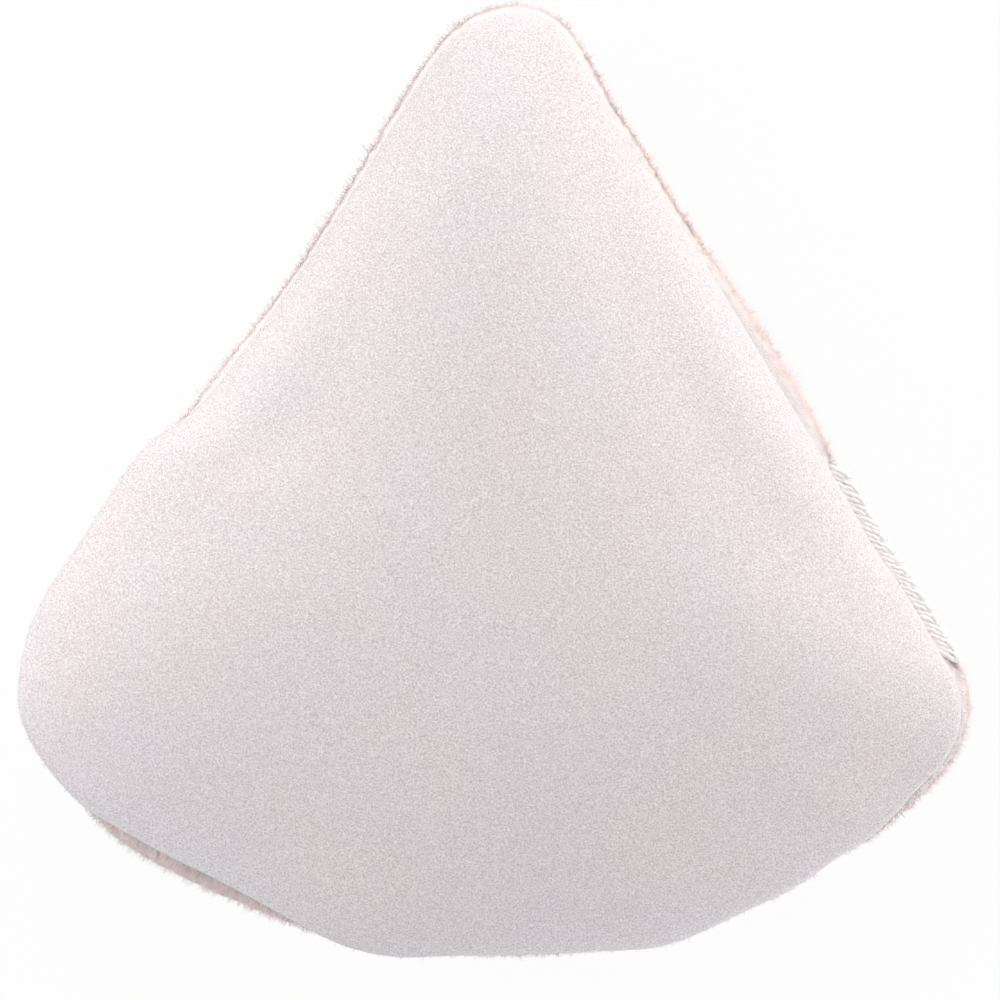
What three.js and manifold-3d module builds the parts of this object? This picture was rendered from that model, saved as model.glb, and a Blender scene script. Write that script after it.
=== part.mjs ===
// Powder puff in the shape of a rounded triangle, lying on its plush side.
// Two fabric panels are sewn together inside out, turned over a foam core and
// closed along one side by an overlocked seam whose raw edges point outwards.
// Units are millimetres, +Z is up, and the top corner of the triangle is +Y.

import * as THREE from 'three';
import { mergeGeometries, mergeVertices } from 'three/addons/utils/BufferGeometryUtils.js';
import Module from 'manifold-3d';

const wasm = await Module();
wasm.setup();

// Outline of both panels
const puff_width = 75;
const puff_length = 75;
const face_top_radius = 5.9;
const face_left_radius = 11.6;
const face_right_radius = 8;
const face_left_bow = -1.1;
const face_lower_bow = 11.5;
const face_right_bow = 0.2;
const plush_top_radius = 5.8;
const plush_left_radius = 8.2;
const plush_right_radius = 8.4;
const plush_left_bow = 0.5;
const plush_lower_bow = 11.2;
const plush_right_bow = 0.5;

// Centres of the corner arcs, as shares of the width and the length
const face_corner_shares = { top: [0.017, 0.415], left: [-0.344, -0.198], right: [0.384, -0.24] };
const plush_corner_shares = { top: [0.017, 0.424], left: [-0.383, -0.24], right: [0.387, -0.237] };
const crown_centre_shares = [0.007, -0.08];

// Heights above the surface that the puff lies on
const seam_height = 7.5;
const face_rise = 8.5;
const rest_flat_depth = 0.5;

// Fabrics, pile and the clearances between the layers
const face_fabric = 0.8;
const ground_fabric = 0.6;
const pile_depth = 2.4;
const pile_least = 0.4;
const layer_gap = 0.25;
const seam_gap = 0.1;

// Turned-in seam
const seam_tuck = 1.2;
const seam_land = 0.9;
const face_shoulder = 1.8;
const ground_shoulder = 1.9;
const allowance_width = 4;
const face_allowance = 0.6;
const ground_allowance = 0.5;
const stitch_inset = 1.8;
const stitch_length = 7;

// Overlocked closing seam
const closing_length = 19;
const closing_blend = 3;
const closing_stitches = 14;
const closing_wall = 0.45;
const closing_lip = 1.05;
const lip_fabric = 0.4;
const thread = 0.16;
const thread_gap = 0.05;

// Fineness of the facets
const corner_step_degrees = 17;
const side_step = 6;
const thread_sides = 5;
const seam_thread_sides = 4;

// Swell of a sewn cushion from its rim, share 1, to its middle, share 0
const swell_power = 2.4;
const swell_round = 0.75;
const crown_round_power = 1;
const crown_ring_shares = [0.4, 0.66, 0.84, 0.95];
const lining_ring_shares = [0.5, 0.85];

const swell = (share) => (1 - share ** swell_power) ** swell_round;
const swellShareAt = (height) => (1 - height ** (1 / swell_round)) ** (1 / swell_power);
const mix = (start, end, share) => start + (end - start) * share;

const crown_centre = new THREE.Vector2(
  crown_centre_shares[0] * puff_width,
  crown_centre_shares[1] * puff_length,
);

// A rounded triangle: three corner arcs joined by three tangent side arcs.
// An arc's point is centre + radius * normal, and a hollow side has a radius
// below zero, so the normal always points out of the panel. Distances along
// the outline start where the right corner runs into the right side.
class PanelOutline {
  constructor(shares, radii, bows) {
    const corner = (name) => ({
      centre: new THREE.Vector2(shares[name][0] * puff_width, shares[name][1] * puff_length),
      radius: radii[name],
    });
    const corners = [corner('right'), corner('top'), corner('left')];
    const sides = corners.map((from, index) => this.side(from, corners[(index + 1) % 3], bows[index]));
    this.arcs = [];
    sides.forEach((side, index) => {
      const next = sides[(index + 1) % 3];
      const end = side.start + side.sweep;
      const turn = THREE.MathUtils.euclideanModulo(next.start - end, 2 * Math.PI);
      this.arcs.push(side, { ...corners[(index + 1) % 3], start: end, sweep: turn });
    });
    this.length = this.arcs.reduce((sum, arc) => sum + Math.abs(arc.radius * arc.sweep), 0);
  }

  side(from, to, bow) {
    const along = to.centre.clone().sub(from.centre);
    const span = along.length();
    along.divideScalar(span);
    const across = new THREE.Vector2(-along.y, along.x);
    const radius = (span ** 2 / 4 + bow ** 2) / (2 * bow) + (from.radius + to.radius) / 2;
    const reach = radius - from.radius;
    const shift = (span ** 2 + reach ** 2 - (radius - to.radius) ** 2) / (2 * span);
    const drop = Math.sqrt(reach ** 2 - shift ** 2) * Math.sign(radius);
    const centre = from.centre.clone().addScaledVector(along, shift).addScaledVector(across, drop);
    const direction = (corner) => corner.centre.clone().sub(centre).multiplyScalar(Math.sign(radius)).angle();
    const start = direction(from);
    const sweep = THREE.MathUtils.euclideanModulo(direction(to) - start + Math.PI, 2 * Math.PI) - Math.PI;
    return { centre, radius, start, sweep };
  }

  at(distance) {
    let rest = THREE.MathUtils.euclideanModulo(distance, this.length);
    for (const arc of this.arcs) {
      const run = Math.abs(arc.radius * arc.sweep);
      if (rest <= run) {
        const angle = arc.start + (arc.sweep * rest) / run;
        const normal = new THREE.Vector2(Math.cos(angle), Math.sin(angle));
        return { distance, normal, point: arc.centre.clone().addScaledVector(normal, arc.radius) };
      }
      rest -= run;
    }
    return this.at(0);
  }

  // Distances at which a ring has its points: more of them round the corners
  steps(breaks) {
    const marks = [...breaks];
    let start = 0;
    for (const arc of this.arcs) {
      const run = Math.abs(arc.radius * arc.sweep);
      const turns = Math.abs(arc.sweep) / THREE.MathUtils.degToRad(corner_step_degrees);
      const count = Math.ceil(Math.max(turns, run / side_step));
      for (let index = 0; index < count; index += 1) {
        marks.push(start + (run * index) / count);
      }
      start += run;
    }
    marks.sort((a, b) => a - b);
    const apart = side_step / 3;
    return marks.filter((mark) => breaks.includes(mark) || breaks.every((stop) => Math.abs(mark - stop) > apart));
  }

  // How far the outline lies from a point, measured along a direction
  reach(point, direction) {
    const fine = 720;
    let nearest = Infinity;
    for (let index = 0; index < fine; index += 1) {
      const a = this.at((this.length * index) / fine).point.sub(point);
      const b = this.at((this.length * (index + 1)) / fine).point.sub(point);
      const sideA = direction.cross(a);
      const sideB = direction.cross(b);
      if (sideA <= 0 && sideB > 0) {
        const crossing = a.lerp(b, sideA / (sideA - sideB)).dot(direction);
        nearest = Math.min(nearest, crossing > 0 ? crossing : Infinity);
      }
    }
    return nearest;
  }
}

const face_outline = new PanelOutline(
  face_corner_shares,
  { top: face_top_radius, left: face_left_radius, right: face_right_radius },
  [face_right_bow, face_left_bow, face_lower_bow],
);
const plush_outline = new PanelOutline(
  plush_corner_shares,
  { top: plush_top_radius, left: plush_left_radius, right: plush_right_radius },
  [plush_right_bow, plush_left_bow, plush_lower_bow],
);

// Stations round the rim. closing is 1 along the overlocked stretch, where the
// edges point outwards, and 0 where they are turned in; fringe is how far the
// plush reaches past the edge of the face.
const sewn_start = closing_length + closing_blend;
const sewn_end = face_outline.length - closing_blend;
const closing_marks = [
  0,
  closing_length,
  closing_length + closing_blend / 2,
  sewn_start,
  sewn_end,
  sewn_end + closing_blend / 2,
];
const stations = face_outline.steps(closing_marks).map((distance) => {
  const station = face_outline.at(distance);
  const past = Math.max(0, distance - closing_length);
  const before = face_outline.length - distance;
  station.closing = THREE.MathUtils.clamp(1 - Math.min(past, before) / closing_blend, 0, 1);
  const inside = station.point.clone().addScaledVector(station.normal, -allowance_width);
  station.fringe = plush_outline.reach(inside, station.normal) - allowance_width;
  return station;
});

// A point of the rim: out is measured from the edge of the face along the
// outline's normal, and height from the seam plane.
function rimPoint(station, out, height) {
  return new THREE.Vector3(
    station.point.x + station.normal.x * out,
    station.point.y + station.normal.y * out,
    seam_height + height,
  );
}

const rimRing = (place) => stations.map((station) => rimPoint(station, ...place(station)));

// A ring between the rim ring, share 1, and the middle of the puff, share 0.
// The rings grow rounder towards the middle, so no ridge runs to a corner.
function crownRing(rim, share, height) {
  const spans = rim.map((point) => Math.hypot(point.x - crown_centre.x, point.y - crown_centre.y));
  const round = spans.reduce((sum, span) => sum + span, 0) / spans.length;
  return rim.map((point, index) => {
    const reach = share * mix(round / spans[index], 1, share ** crown_round_power);
    return new THREE.Vector3(
      mix(crown_centre.x, point.x, reach),
      mix(crown_centre.y, point.y, reach),
      mix(seam_height + height, point.z, 1 - swell(share)),
    );
  });
}

const pole = (height) => new THREE.Vector3(crown_centre.x, crown_centre.y, seam_height + height);

function solidGeometry(points, triangles) {
  let volume = 0;
  const cross = new THREE.Vector3();
  for (const [a, b, c] of triangles) {
    volume += cross.crossVectors(points[b], points[c]).dot(points[a]);
  }
  const outward = volume > 0 ? triangles : triangles.map(([a, b, c]) => [a, c, b]);
  const geometry = new THREE.BufferGeometry().setFromPoints(points);
  geometry.setIndex(outward.flat());
  return geometry;
}

// A closed skin: a fan round the first pole, bands between the rings and a fan
// round the last pole.
function loft(firstPole, rings, lastPole) {
  const points = [firstPole, ...rings.flat(), lastPole];
  const count = rings[0].length;
  const last = points.length - 1;
  const triangles = [];
  for (let index = 0; index < count; index += 1) {
    const next = (index + 1) % count;
    triangles.push([0, 1 + index, 1 + next]);
    for (let ring = 0; ring < rings.length - 1; ring += 1) {
      const inner = 1 + ring * count;
      const outer = inner + count;
      triangles.push([inner + index, outer + index, outer + next]);
      triangles.push([inner + index, outer + next, inner + next]);
    }
    const end = last - count;
    triangles.push([last, end + next, end + index]);
  }
  return solidGeometry(points, triangles);
}

// A flat strip of fabric that follows the rim from one distance to another
function strip(from, to, outs, heights) {
  const used = stations.filter((station) => station.distance >= from && station.distance <= to);
  const points = used.flatMap((station) => [
    rimPoint(station, outs[0], heights[0]),
    rimPoint(station, outs[1], heights[0]),
    rimPoint(station, outs[1], heights[1]),
    rimPoint(station, outs[0], heights[1]),
  ]);
  const end = points.length - 4;
  const triangles = [[0, 2, 1], [0, 3, 2], [end, end + 1, end + 2], [end, end + 2, end + 3]];
  for (let base = 0; base < end; base += 4) {
    for (let side = 0; side < 4; side += 1) {
      const a = base + side;
      const b = base + ((side + 1) % 4);
      triangles.push([a, b, b + 4], [a, b + 4, a + 4]);
    }
  }
  return solidGeometry(points, triangles);
}

function toSolid(geometry) {
  const bare = geometry.clone();
  bare.deleteAttribute('normal');
  bare.deleteAttribute('uv');
  const merged = mergeVertices(bare);
  return new wasm.Manifold(new wasm.Mesh({
    numProp: 3,
    vertProperties: merged.attributes.position.array,
    triVerts: Uint32Array.from(merged.index.array),
  }));
}

function fromSolid(solid) {
  const mesh = solid.getMesh();
  const geometry = new THREE.BufferGeometry();
  geometry.setAttribute('position', new THREE.BufferAttribute(mesh.vertProperties, mesh.numProp));
  geometry.setIndex(new THREE.BufferAttribute(mesh.triVerts, 1));
  return geometry;
}

// Levels of the threads at the closing seam, above and below the seam plane
const lip_top = seam_gap / 2 + lip_fabric;
const looper_level = lip_top + thread_gap + thread / 2;
const needle_level = looper_level + thread + thread_gap;
const pitch = closing_length / closing_stitches;
const loop_radius = pitch / 4;
const turn_out = thread_gap + thread / 2 - closing_wall;
const needle_out = turn_out + loop_radius;
const lip_out = closing_lip - closing_wall;
const hook_near = lip_out + thread_gap + thread / 2;
const hook_far = hook_near + thread + thread_gap;
const hook_half = thread + thread_gap;
const needle_spread = thread + thread_gap;

// Levels of the lockstitch threads at the turned-in seam
const stitch_out = -seam_tuck - stitch_inset;
const lock_radius = thread + thread_gap;
const lock_top = seam_gap / 2 + face_allowance + thread_gap + thread / 2;
const bobbin_level = -(seam_gap / 2 + ground_allowance + thread_gap + thread / 2);
const lock_bottom = bobbin_level - lock_radius;
const lock_stitches = Math.round((sewn_end - sewn_start) / stitch_length);
const lock_pitch = (sewn_end - sewn_start) / lock_stitches;
const closingHole = (index) => (index + 0.5) * pitch;
const lockHole = (index) => sewn_start + (index + 0.5) * lock_pitch;

// Small slots that the needles leave in the fabric, as one cutter
function needleSlots(count, place, out, along, across) {
  const tall = 4 * (face_allowance + ground_allowance);
  const slots = [];
  for (let index = 0; index < count; index += 1) {
    const station = face_outline.at(place(index));
    const slot = new THREE.BoxGeometry(across, along, tall);
    slot.rotateZ(station.normal.angle());
    slot.translate(...rimPoint(station, out, 0).toArray());
    slots.push(slot);
  }
  return toSolid(mergeGeometries(slots));
}

const closing_slots = needleSlots(
  closing_stitches,
  closingHole,
  needle_out,
  2 * needle_spread + thread + 2 * thread_gap,
  thread + 2 * thread_gap,
);
const lock_slots = needleSlots(
  lock_stitches,
  lockHole,
  stitch_out,
  thread + 2 * thread_gap,
  2 * lock_radius + thread + 2 * thread_gap,
);

// One panel: its crown, the edge tucked in to the seam plane, the turned-in
// allowance and, along the closing, the lip that points outwards. side is 1
// for the face above the seam and -1 for the ground fabric below it.
function panel({ side, crown, shoulder, bulge, closingBulge, fabric, allowance }) {
  const land = side * seam_gap / 2;
  const outerRim = rimRing((station) => [
    mix(bulge, closingBulge, station.closing),
    side * shoulder,
  ]);
  const fold = rimRing((station) => [
    mix(bulge - seam_tuck / 3, -closing_wall, station.closing),
    side * shoulder / 2,
  ]);
  const landOuter = rimRing((station) => [mix(-seam_tuck, -closing_wall, station.closing), land]);
  const landInner = rimRing((station) => [
    mix(-seam_tuck, -closing_wall, station.closing) - seam_land,
    land,
  ]);
  const heel = rimRing((station) => [
    mix(-seam_tuck, -closing_wall, station.closing) - seam_land,
    land + side * allowance / 2,
  ]);
  const innerRim = rimRing((station) => [
    mix(bulge, closingBulge, station.closing) - fabric,
    side * shoulder,
  ]);
  const lining = side * (crown - fabric);
  const shell = loft(
    pole(side * crown),
    [
      ...crown_ring_shares.map((share) => crownRing(outerRim, share, side * crown)),
      outerRim,
      fold,
      landOuter,
      landInner,
      heel,
      innerRim,
      ...lining_ring_shares.toReversed().map((share) => crownRing(innerRim, share, lining)),
    ],
    pole(lining),
  );
  const turnedIn = strip(
    sewn_start,
    sewn_end,
    [-seam_tuck - allowance_width, -seam_tuck - seam_land / 2],
    [land, land + side * allowance],
  );
  const lip = strip(
    0,
    closing_length,
    [-closing_wall - seam_land / 2, lip_out],
    [land, land + side * lip_fabric],
  );
  return fromSolid(
    toSolid(shell)
      .add(toSolid(turnedIn))
      .add(toSolid(lip))
      .subtract(closing_slots)
      .subtract(lock_slots),
  );
}

const ground_bulge = -seam_tuck / 2 - seam_gap;
const ground_crown = seam_height + rest_flat_depth - pile_depth - layer_gap;
const face_panel = {
  side: 1,
  crown: face_rise,
  shoulder: face_shoulder,
  bulge: 0,
  closingBulge: -closing_wall / 2,
  fabric: face_fabric,
  allowance: face_allowance,
};
const ground_panel = {
  side: -1,
  crown: ground_crown,
  shoulder: ground_shoulder,
  bulge: ground_bulge,
  closingBulge: ground_bulge,
  fabric: ground_fabric,
  allowance: ground_allowance,
};

// The pile stands on the ground fabric, follows the plush outline round the
// rim and is pressed flat where the puff lies on it.
function pileLayer() {
  const crown = seam_height + rest_flat_depth;
  const outerRim = rimRing((station) => [
    Math.max(station.fringe, ground_bulge + layer_gap + pile_least) - station.closing * closing_wall,
    -ground_shoulder,
  ]);
  const top = rimRing((station) => [
    Math.max(station.fringe - pile_depth / 4, ground_bulge + layer_gap + pile_least / 2)
      - station.closing * closing_wall,
    mix(-ground_shoulder / 4, -needle_level - thread - ground_fabric / 2, station.closing),
  ]);
  const root = rimRing((station) => [
    ground_bulge + layer_gap,
    mix(-ground_shoulder / 2, -needle_level - thread - ground_fabric, station.closing),
  ]);
  const innerRim = rimRing(() => [ground_bulge + layer_gap, -ground_shoulder]);
  const flatShare = swellShareAt((seam_height - ground_shoulder) / (crown - ground_shoulder));
  const outerShares = [flatShare, ...crown_ring_shares.filter((share) => share > flatShare)];
  const inside = -ground_crown - layer_gap;
  return loft(
    pole(-seam_height),
    [
      ...outerShares.map((share) => crownRing(outerRim, share, -crown)),
      outerRim,
      top,
      root,
      innerRim,
      ...crown_ring_shares.toReversed().map((share) => crownRing(innerRim, share, inside)),
    ],
    pole(inside),
  );
}

// The foam fills both panels and is drawn in round the turned-in allowances
function foamCore() {
  const halfUp = lock_top + thread / 2 + layer_gap;
  const halfDown = lock_bottom - thread / 2 - layer_gap;
  const depth = -seam_tuck - allowance_width - layer_gap;
  const rim = (form) => rimRing(() => [
    form.closingBulge - form.fabric - layer_gap,
    form.side * form.shoulder,
  ]);
  const mouth = (height) => rimRing(() => [-seam_tuck - seam_land - layer_gap, height]);
  const groove = (height) => rimRing(() => [depth, height]);
  const crownRings = (form, ring) => lining_ring_shares.map(
    (share) => crownRing(ring, share, form.side * (form.crown - form.fabric - layer_gap)),
  );
  const upper = rim(face_panel);
  const lower = rim(ground_panel);
  return loft(
    pole(face_rise - face_fabric - layer_gap),
    [
      ...crownRings(face_panel, upper),
      upper,
      mouth(halfUp),
      groove(halfUp),
      groove(halfDown),
      mouth(halfDown),
      lower,
      ...crownRings(ground_panel, lower).toReversed(),
    ],
    pole(-(ground_crown - ground_fabric - layer_gap)),
  );
}

// A thread along places given as [distance, out, height]
function threadTube(places, sides) {
  const points = places.map(([distance, out, height]) => rimPoint(face_outline.at(distance), out, height));
  const path = new THREE.CatmullRomCurve3(points, false, 'centripetal');
  path.getUtoTmapping = (u) => u;
  const corners = [];
  for (let index = 0; index < sides; index += 1) {
    const angle = (2 * Math.PI * index) / sides;
    corners.push(new THREE.Vector2(Math.cos(angle), Math.sin(angle)).multiplyScalar(thread / 2));
  }
  return new THREE.ExtrudeGeometry(new THREE.Shape(corners), {
    steps: points.length - 1,
    extrudePath: path,
    bevelEnabled: false,
  });
}

// The needle thread lies along the top, dips through a slot at each stitch and
// forms a loop below that the lower looper thread runs through.
function overlockNeedle() {
  const places = [];
  const pinch = (thread + thread_gap) / 2;
  for (let index = 0; index < closing_stitches; index += 1) {
    const down = [
      [-2 * needle_spread, needle_level],
      [-pinch, needle_level],
      [-pinch, lip_top],
      [-needle_spread, -lip_top],
      [-needle_spread, -needle_level],
    ];
    const loop = [...down, ...down.toReversed().map(([along, level]) => [-along, level])];
    loop.forEach(([along, level]) => places.push([closingHole(index) + along, needle_out, level]));
  }
  return threadTube(places, thread_sides);
}

// A looper thread lies on one side of the lips in round turns about the needle
// line, and hooks round the other looper thread at the raw edge. The lower one
// is the upper one turned half round about the edge.
function overlockLooper(isUpper) {
  const places = [];
  const turnShares = [0, 0.25, 0.5, 0.75, 1];
  for (let index = 0; index < closing_stitches; index += 1) {
    turnShares.forEach((share) => {
      const angle = Math.PI * (1 + share);
      const along = Math.cos(angle) * loop_radius;
      const out = turn_out + loop_radius * (1 + Math.sin(angle));
      places.push([index * pitch + along, out, looper_level]);
    });
    if (index < closing_stitches - 1) {
      places.push(
        [index * pitch + loop_radius, hook_near, looper_level],
        [index * pitch + loop_radius, hook_far, hook_half / 2],
        [index * pitch + 2 * loop_radius, hook_far, -hook_half],
        [index * pitch + 3 * loop_radius, (hook_near + hook_far) / 2, -hook_half / 2],
        [index * pitch + 3 * loop_radius, hook_near, hook_half],
        [index * pitch + 3 * loop_radius, hook_near, looper_level],
      );
    }
  }
  const first = closingHole(0);
  const mirrored = closingHole(closing_stitches - 1) + loop_radius;
  return threadTube(
    places.map(([along, out, level]) => (
      isUpper ? [first + along, out, level] : [mirrored - along, out, -level]
    )),
    thread_sides,
  );
}

// The lockstitch needle thread loops round the bobbin thread in each slot
function seamNeedle() {
  const places = [];
  for (let index = 0; index < lock_stitches; index += 1) {
    const hole = lockHole(index);
    const far = stitch_out + lock_radius;
    const near = stitch_out - lock_radius;
    places.push(
      [hole, far, lock_top],
      [hole, far, lock_bottom],
      [hole, near, lock_bottom],
      [hole, near, lock_top],
    );
  }
  return threadTube(places, seam_thread_sides);
}

// The bobbin thread lies under both allowances and runs through every loop
function seamBobbin() {
  const places = [];
  for (let index = 0; index <= lock_stitches; index += 0.5) {
    places.push([sewn_start + index * lock_pitch, stitch_out, bobbin_level]);
  }
  return threadTube(places, seam_thread_sides);
}

const finishes = {
  face: { color: 0xeee2e5, roughness: 0.9, metalness: 0 },
  ground: { color: 0xe6cdcb, roughness: 0.95, metalness: 0 },
  pile: { color: 0xf0dad8, roughness: 1, metalness: 0 },
  foam: { color: 0xf3ede0, roughness: 1, metalness: 0 },
  thread: { color: 0xf5f0ec, roughness: 0.7, metalness: 0 },
};

const puff = new THREE.Group();

function addPiece(name, geometry, finish) {
  const piece = new THREE.Mesh(geometry, new THREE.MeshStandardMaterial(finishes[finish]));
  piece.name = name;
  puff.add(piece);
}

addPiece('face_cover', panel(face_panel), 'face');
addPiece('rear_ground_fabric', panel(ground_panel), 'ground');
addPiece('rear_pile', pileLayer(), 'pile');
addPiece('foam_core', foamCore(), 'foam');
addPiece('seam_needle_thread', seamNeedle(), 'thread');
addPiece('seam_bobbin_thread', seamBobbin(), 'thread');
addPiece('overlock_needle_thread', overlockNeedle(), 'thread');
addPiece('overlock_upper_looper_thread', overlockLooper(true), 'thread');
addPiece('overlock_lower_looper_thread', overlockLooper(false), 'thread');

// The origin is the middle of the puff's box, on the surface that it lies on
const box = new THREE.Box3().setFromObject(puff);
const middle = box.getCenter(new THREE.Vector3());
puff.position.set(-middle.x, -middle.y, -box.min.z);

export default puff;
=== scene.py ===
"""Looks of a powder puff sewn in the shape of a rounded triangle.

Two fabric panels meet at a seam round the edge. The face is brushed and smooth,
the back carries a short pile, foam fills them, and one side is closed by an
overlocked seam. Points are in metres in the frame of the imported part: +Z out of
the face, +Y towards the top corner, and the puff lies on its pile at height 0.
The puff's own sizes are in millimetres, and those of its finishes in metres.
"""

from __future__ import annotations
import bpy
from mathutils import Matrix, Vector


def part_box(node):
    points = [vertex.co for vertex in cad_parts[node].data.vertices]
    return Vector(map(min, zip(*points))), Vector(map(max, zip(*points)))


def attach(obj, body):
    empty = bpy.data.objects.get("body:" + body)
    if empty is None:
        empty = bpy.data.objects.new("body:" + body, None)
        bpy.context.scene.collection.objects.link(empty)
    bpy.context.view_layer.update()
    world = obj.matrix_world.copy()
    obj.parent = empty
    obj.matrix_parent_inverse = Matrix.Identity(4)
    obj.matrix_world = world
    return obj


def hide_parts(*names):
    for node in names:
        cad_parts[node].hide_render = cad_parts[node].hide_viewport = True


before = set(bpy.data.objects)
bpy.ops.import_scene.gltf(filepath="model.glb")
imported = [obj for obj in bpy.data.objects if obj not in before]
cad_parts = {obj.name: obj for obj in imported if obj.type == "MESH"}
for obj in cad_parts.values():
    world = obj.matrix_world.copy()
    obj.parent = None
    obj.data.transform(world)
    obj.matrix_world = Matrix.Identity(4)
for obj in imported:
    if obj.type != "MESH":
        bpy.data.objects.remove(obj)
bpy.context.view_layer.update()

import logging
import math
from collections.abc import Callable, Iterator, Sequence
from contextlib import contextmanager
from dataclasses import dataclass
from enum import Enum
from functools import cached_property

import bpy
import numpy as np
from mathutils import Vector
from mathutils.bvhtree import BVHTree
from mathutils.kdtree import KDTree

log = logging.getLogger("powder_puff")

MM = 0.001
SEED = 20
Array = np.ndarray
Piece = bpy.types.Object
Socket = bpy.types.NodeSocket
Span = tuple[float, float]
Place = tuple[float, float, float]
Colour = tuple[float, float, float]
WHITE: Colour = (1.0, 1.0, 1.0)


def mix(start: Array | float, end: Array | float, share: Array | float) -> Array | float:
    """Gives the value a share of the way from start to end."""
    return start + (end - start) * share


def ease(value: Array, low: float, high: float) -> Array:
    """Gives a soft step from 0 at low to 1 at high."""
    share = np.clip((value - low) / (high - low), 0.0, 1.0)
    return share * share * (3.0 - 2.0 * share)


def swell(share: Array | float) -> Array:
    """Gives the height of a sewn cushion, from 1 in its middle to 0 at its rim."""
    return (1.0 - np.clip(share, 0.0, 1.0) ** 2.4) ** 0.75


def section(controls: Sequence[tuple], share: Array) -> Array:
    """Follows the cubic curve of four control points across the edge.

    Args:
        controls: four pairs of an out and a height, each a number or a row of them.
        share: how far along the curve each place is.

    Returns:
        The outs and the heights, as two rows.
    """
    rest = 1 - share
    weights = (rest**3, 3 * rest**2 * share, 3 * rest * share**2, share**3)
    return np.array(
        [sum(weight * pair[row] for weight, pair in zip(weights, controls)) for row in (0, 1)]
    )


def run_along(points: Array) -> Array:
    """Gives how far along a path each of its points lies."""
    legs = np.linalg.norm(np.diff(points, axis=0), axis=1)
    return np.concatenate([[0.0], np.cumsum(legs)])


def tree_of(points: Array) -> KDTree:
    """Makes a tree that finds the nearest of some points.

    Args:
        points: the points, as rows.

    Returns:
        The tree, which gives a point's row.
    """
    tree = KDTree(len(points))
    for index, point in enumerate(points):
        tree.insert(Vector(point), index)
    tree.balance()
    return tree


@dataclass(frozen=True)
class Loft:
    """How one side swells from the seam plane, with sign 1 for up and -1 for down.

    The rise is the height of its middle. The shoulder is the height at which it
    stands out furthest, past the edge of the face by its bulge.
    """

    sign: int
    rise: float
    shoulder: float
    bulge: float
    closing_bulge: float


class Side(Enum):
    """The two sides of the puff, each with its loft."""

    FACE = Loft(1, 8.5, 1.8, 0.0, -0.225)
    BACK = Loft(-1, 5.35, 1.9, -0.7, -0.7)


class Stretch(Enum):
    """A stretch of the edge: where it starts and ends, as shares of its length."""

    CLOSING_SIDE = (0.0, 0.31)
    TOP_AND_LEFT = (0.31, 0.62)
    LEFT_AND_LOWER = (0.62, 0.81)
    LOWER_AND_RIGHT = (0.81, 1.0)


class Band(Enum):
    """A band of the pile: its shares across the ground and the gap between roots."""

    EDGE_PILE = (0.0, 0.30, 0.14)
    SIDE_PILE = (0.30, 0.52, 0.26)
    UNDER_PILE = (0.52, 0.995, 0.36)


@dataclass(frozen=True)
class Corner:
    """The arc of a panel's corner."""

    x: float
    y: float
    radius: float

    @property
    def middle(self) -> Array:
        """The middle of the arc."""
        return np.array([self.x, self.y])


@dataclass(frozen=True)
class PanelOutline:
    """A rounded triangle: three corner arcs joined by three tangent side arcs.

    The corners are the right, top and left one. The bows say how far the right,
    left and lower side bulge, below zero where a side is hollow.
    """

    corners: tuple[Corner, Corner, Corner]
    bows: tuple[float, float, float]

    @cached_property
    def arcs(self) -> list[tuple]:
        """Six centres, radii, first angles and sweeps, from the right side's lower end."""
        ends = (*self.corners[1:], self.corners[0])
        sides = [self._side(*parts) for parts in zip(self.corners, ends, self.bows)]
        arcs = []
        for side, after, corner in zip(sides, (*sides[1:], sides[0]), ends):
            end = side[2] + side[3]
            turn = (after[2] - end) % (2 * math.pi)
            arcs += [side, (corner.middle, corner.radius, end, turn)]
        return arcs

    @cached_property
    def length(self) -> float:
        """The length of the whole outline."""
        return sum(abs(radius * sweep) for _, radius, _, sweep in self.arcs)

    @staticmethod
    def _side(start: Corner, end: Corner, bow: float) -> tuple:
        """Fits the arc of one side between two corners.

        Args:
            start: the corner that the side leaves.
            end: the corner that it runs into.
            bow: how far the side bulges, below zero where it is hollow.

        Returns:
            The centre, the signed radius, the first angle and the sweep.
        """
        span = float(np.linalg.norm(end.middle - start.middle))
        along = (end.middle - start.middle) / span
        across = np.array([-along[1], along[0]])
        radius = (span**2 / 4 + bow**2) / (2 * bow) + (start.radius + end.radius) / 2
        reach = radius - start.radius
        shift = (span**2 + reach**2 - (radius - end.radius) ** 2) / (2 * span)
        drop = math.copysign(math.sqrt(reach**2 - shift**2), radius)
        centre = start.middle + along * shift + across * drop
        sign = math.copysign(1.0, radius)
        first, last = (
            math.atan2(*((corner.middle - centre) * sign)[::-1]) for corner in (start, end)
        )
        return centre, radius, first, (last - first + math.pi) % (2 * math.pi) - math.pi

    def at(self, distance: Array) -> tuple[Array, Array]:
        """Follows the outline.

        Args:
            distance: distances along it.

        Returns:
            The points there and the outward normals.
        """
        rest = np.mod(np.asarray(distance, float), self.length)
        points, normals = np.zeros((len(rest), 2)), np.zeros((len(rest), 2))
        run_start = 0.0
        for centre, radius, start, sweep in self.arcs:
            run = abs(radius * sweep)
            here = (rest >= run_start) & (rest <= run_start + run + 1e-9)
            angle = start + sweep * (rest[here] - run_start) / run
            normals[here] = np.stack([np.cos(angle), np.sin(angle)], 1)
            points[here] = centre + radius * normals[here]
            run_start += run
        return points, normals


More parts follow.
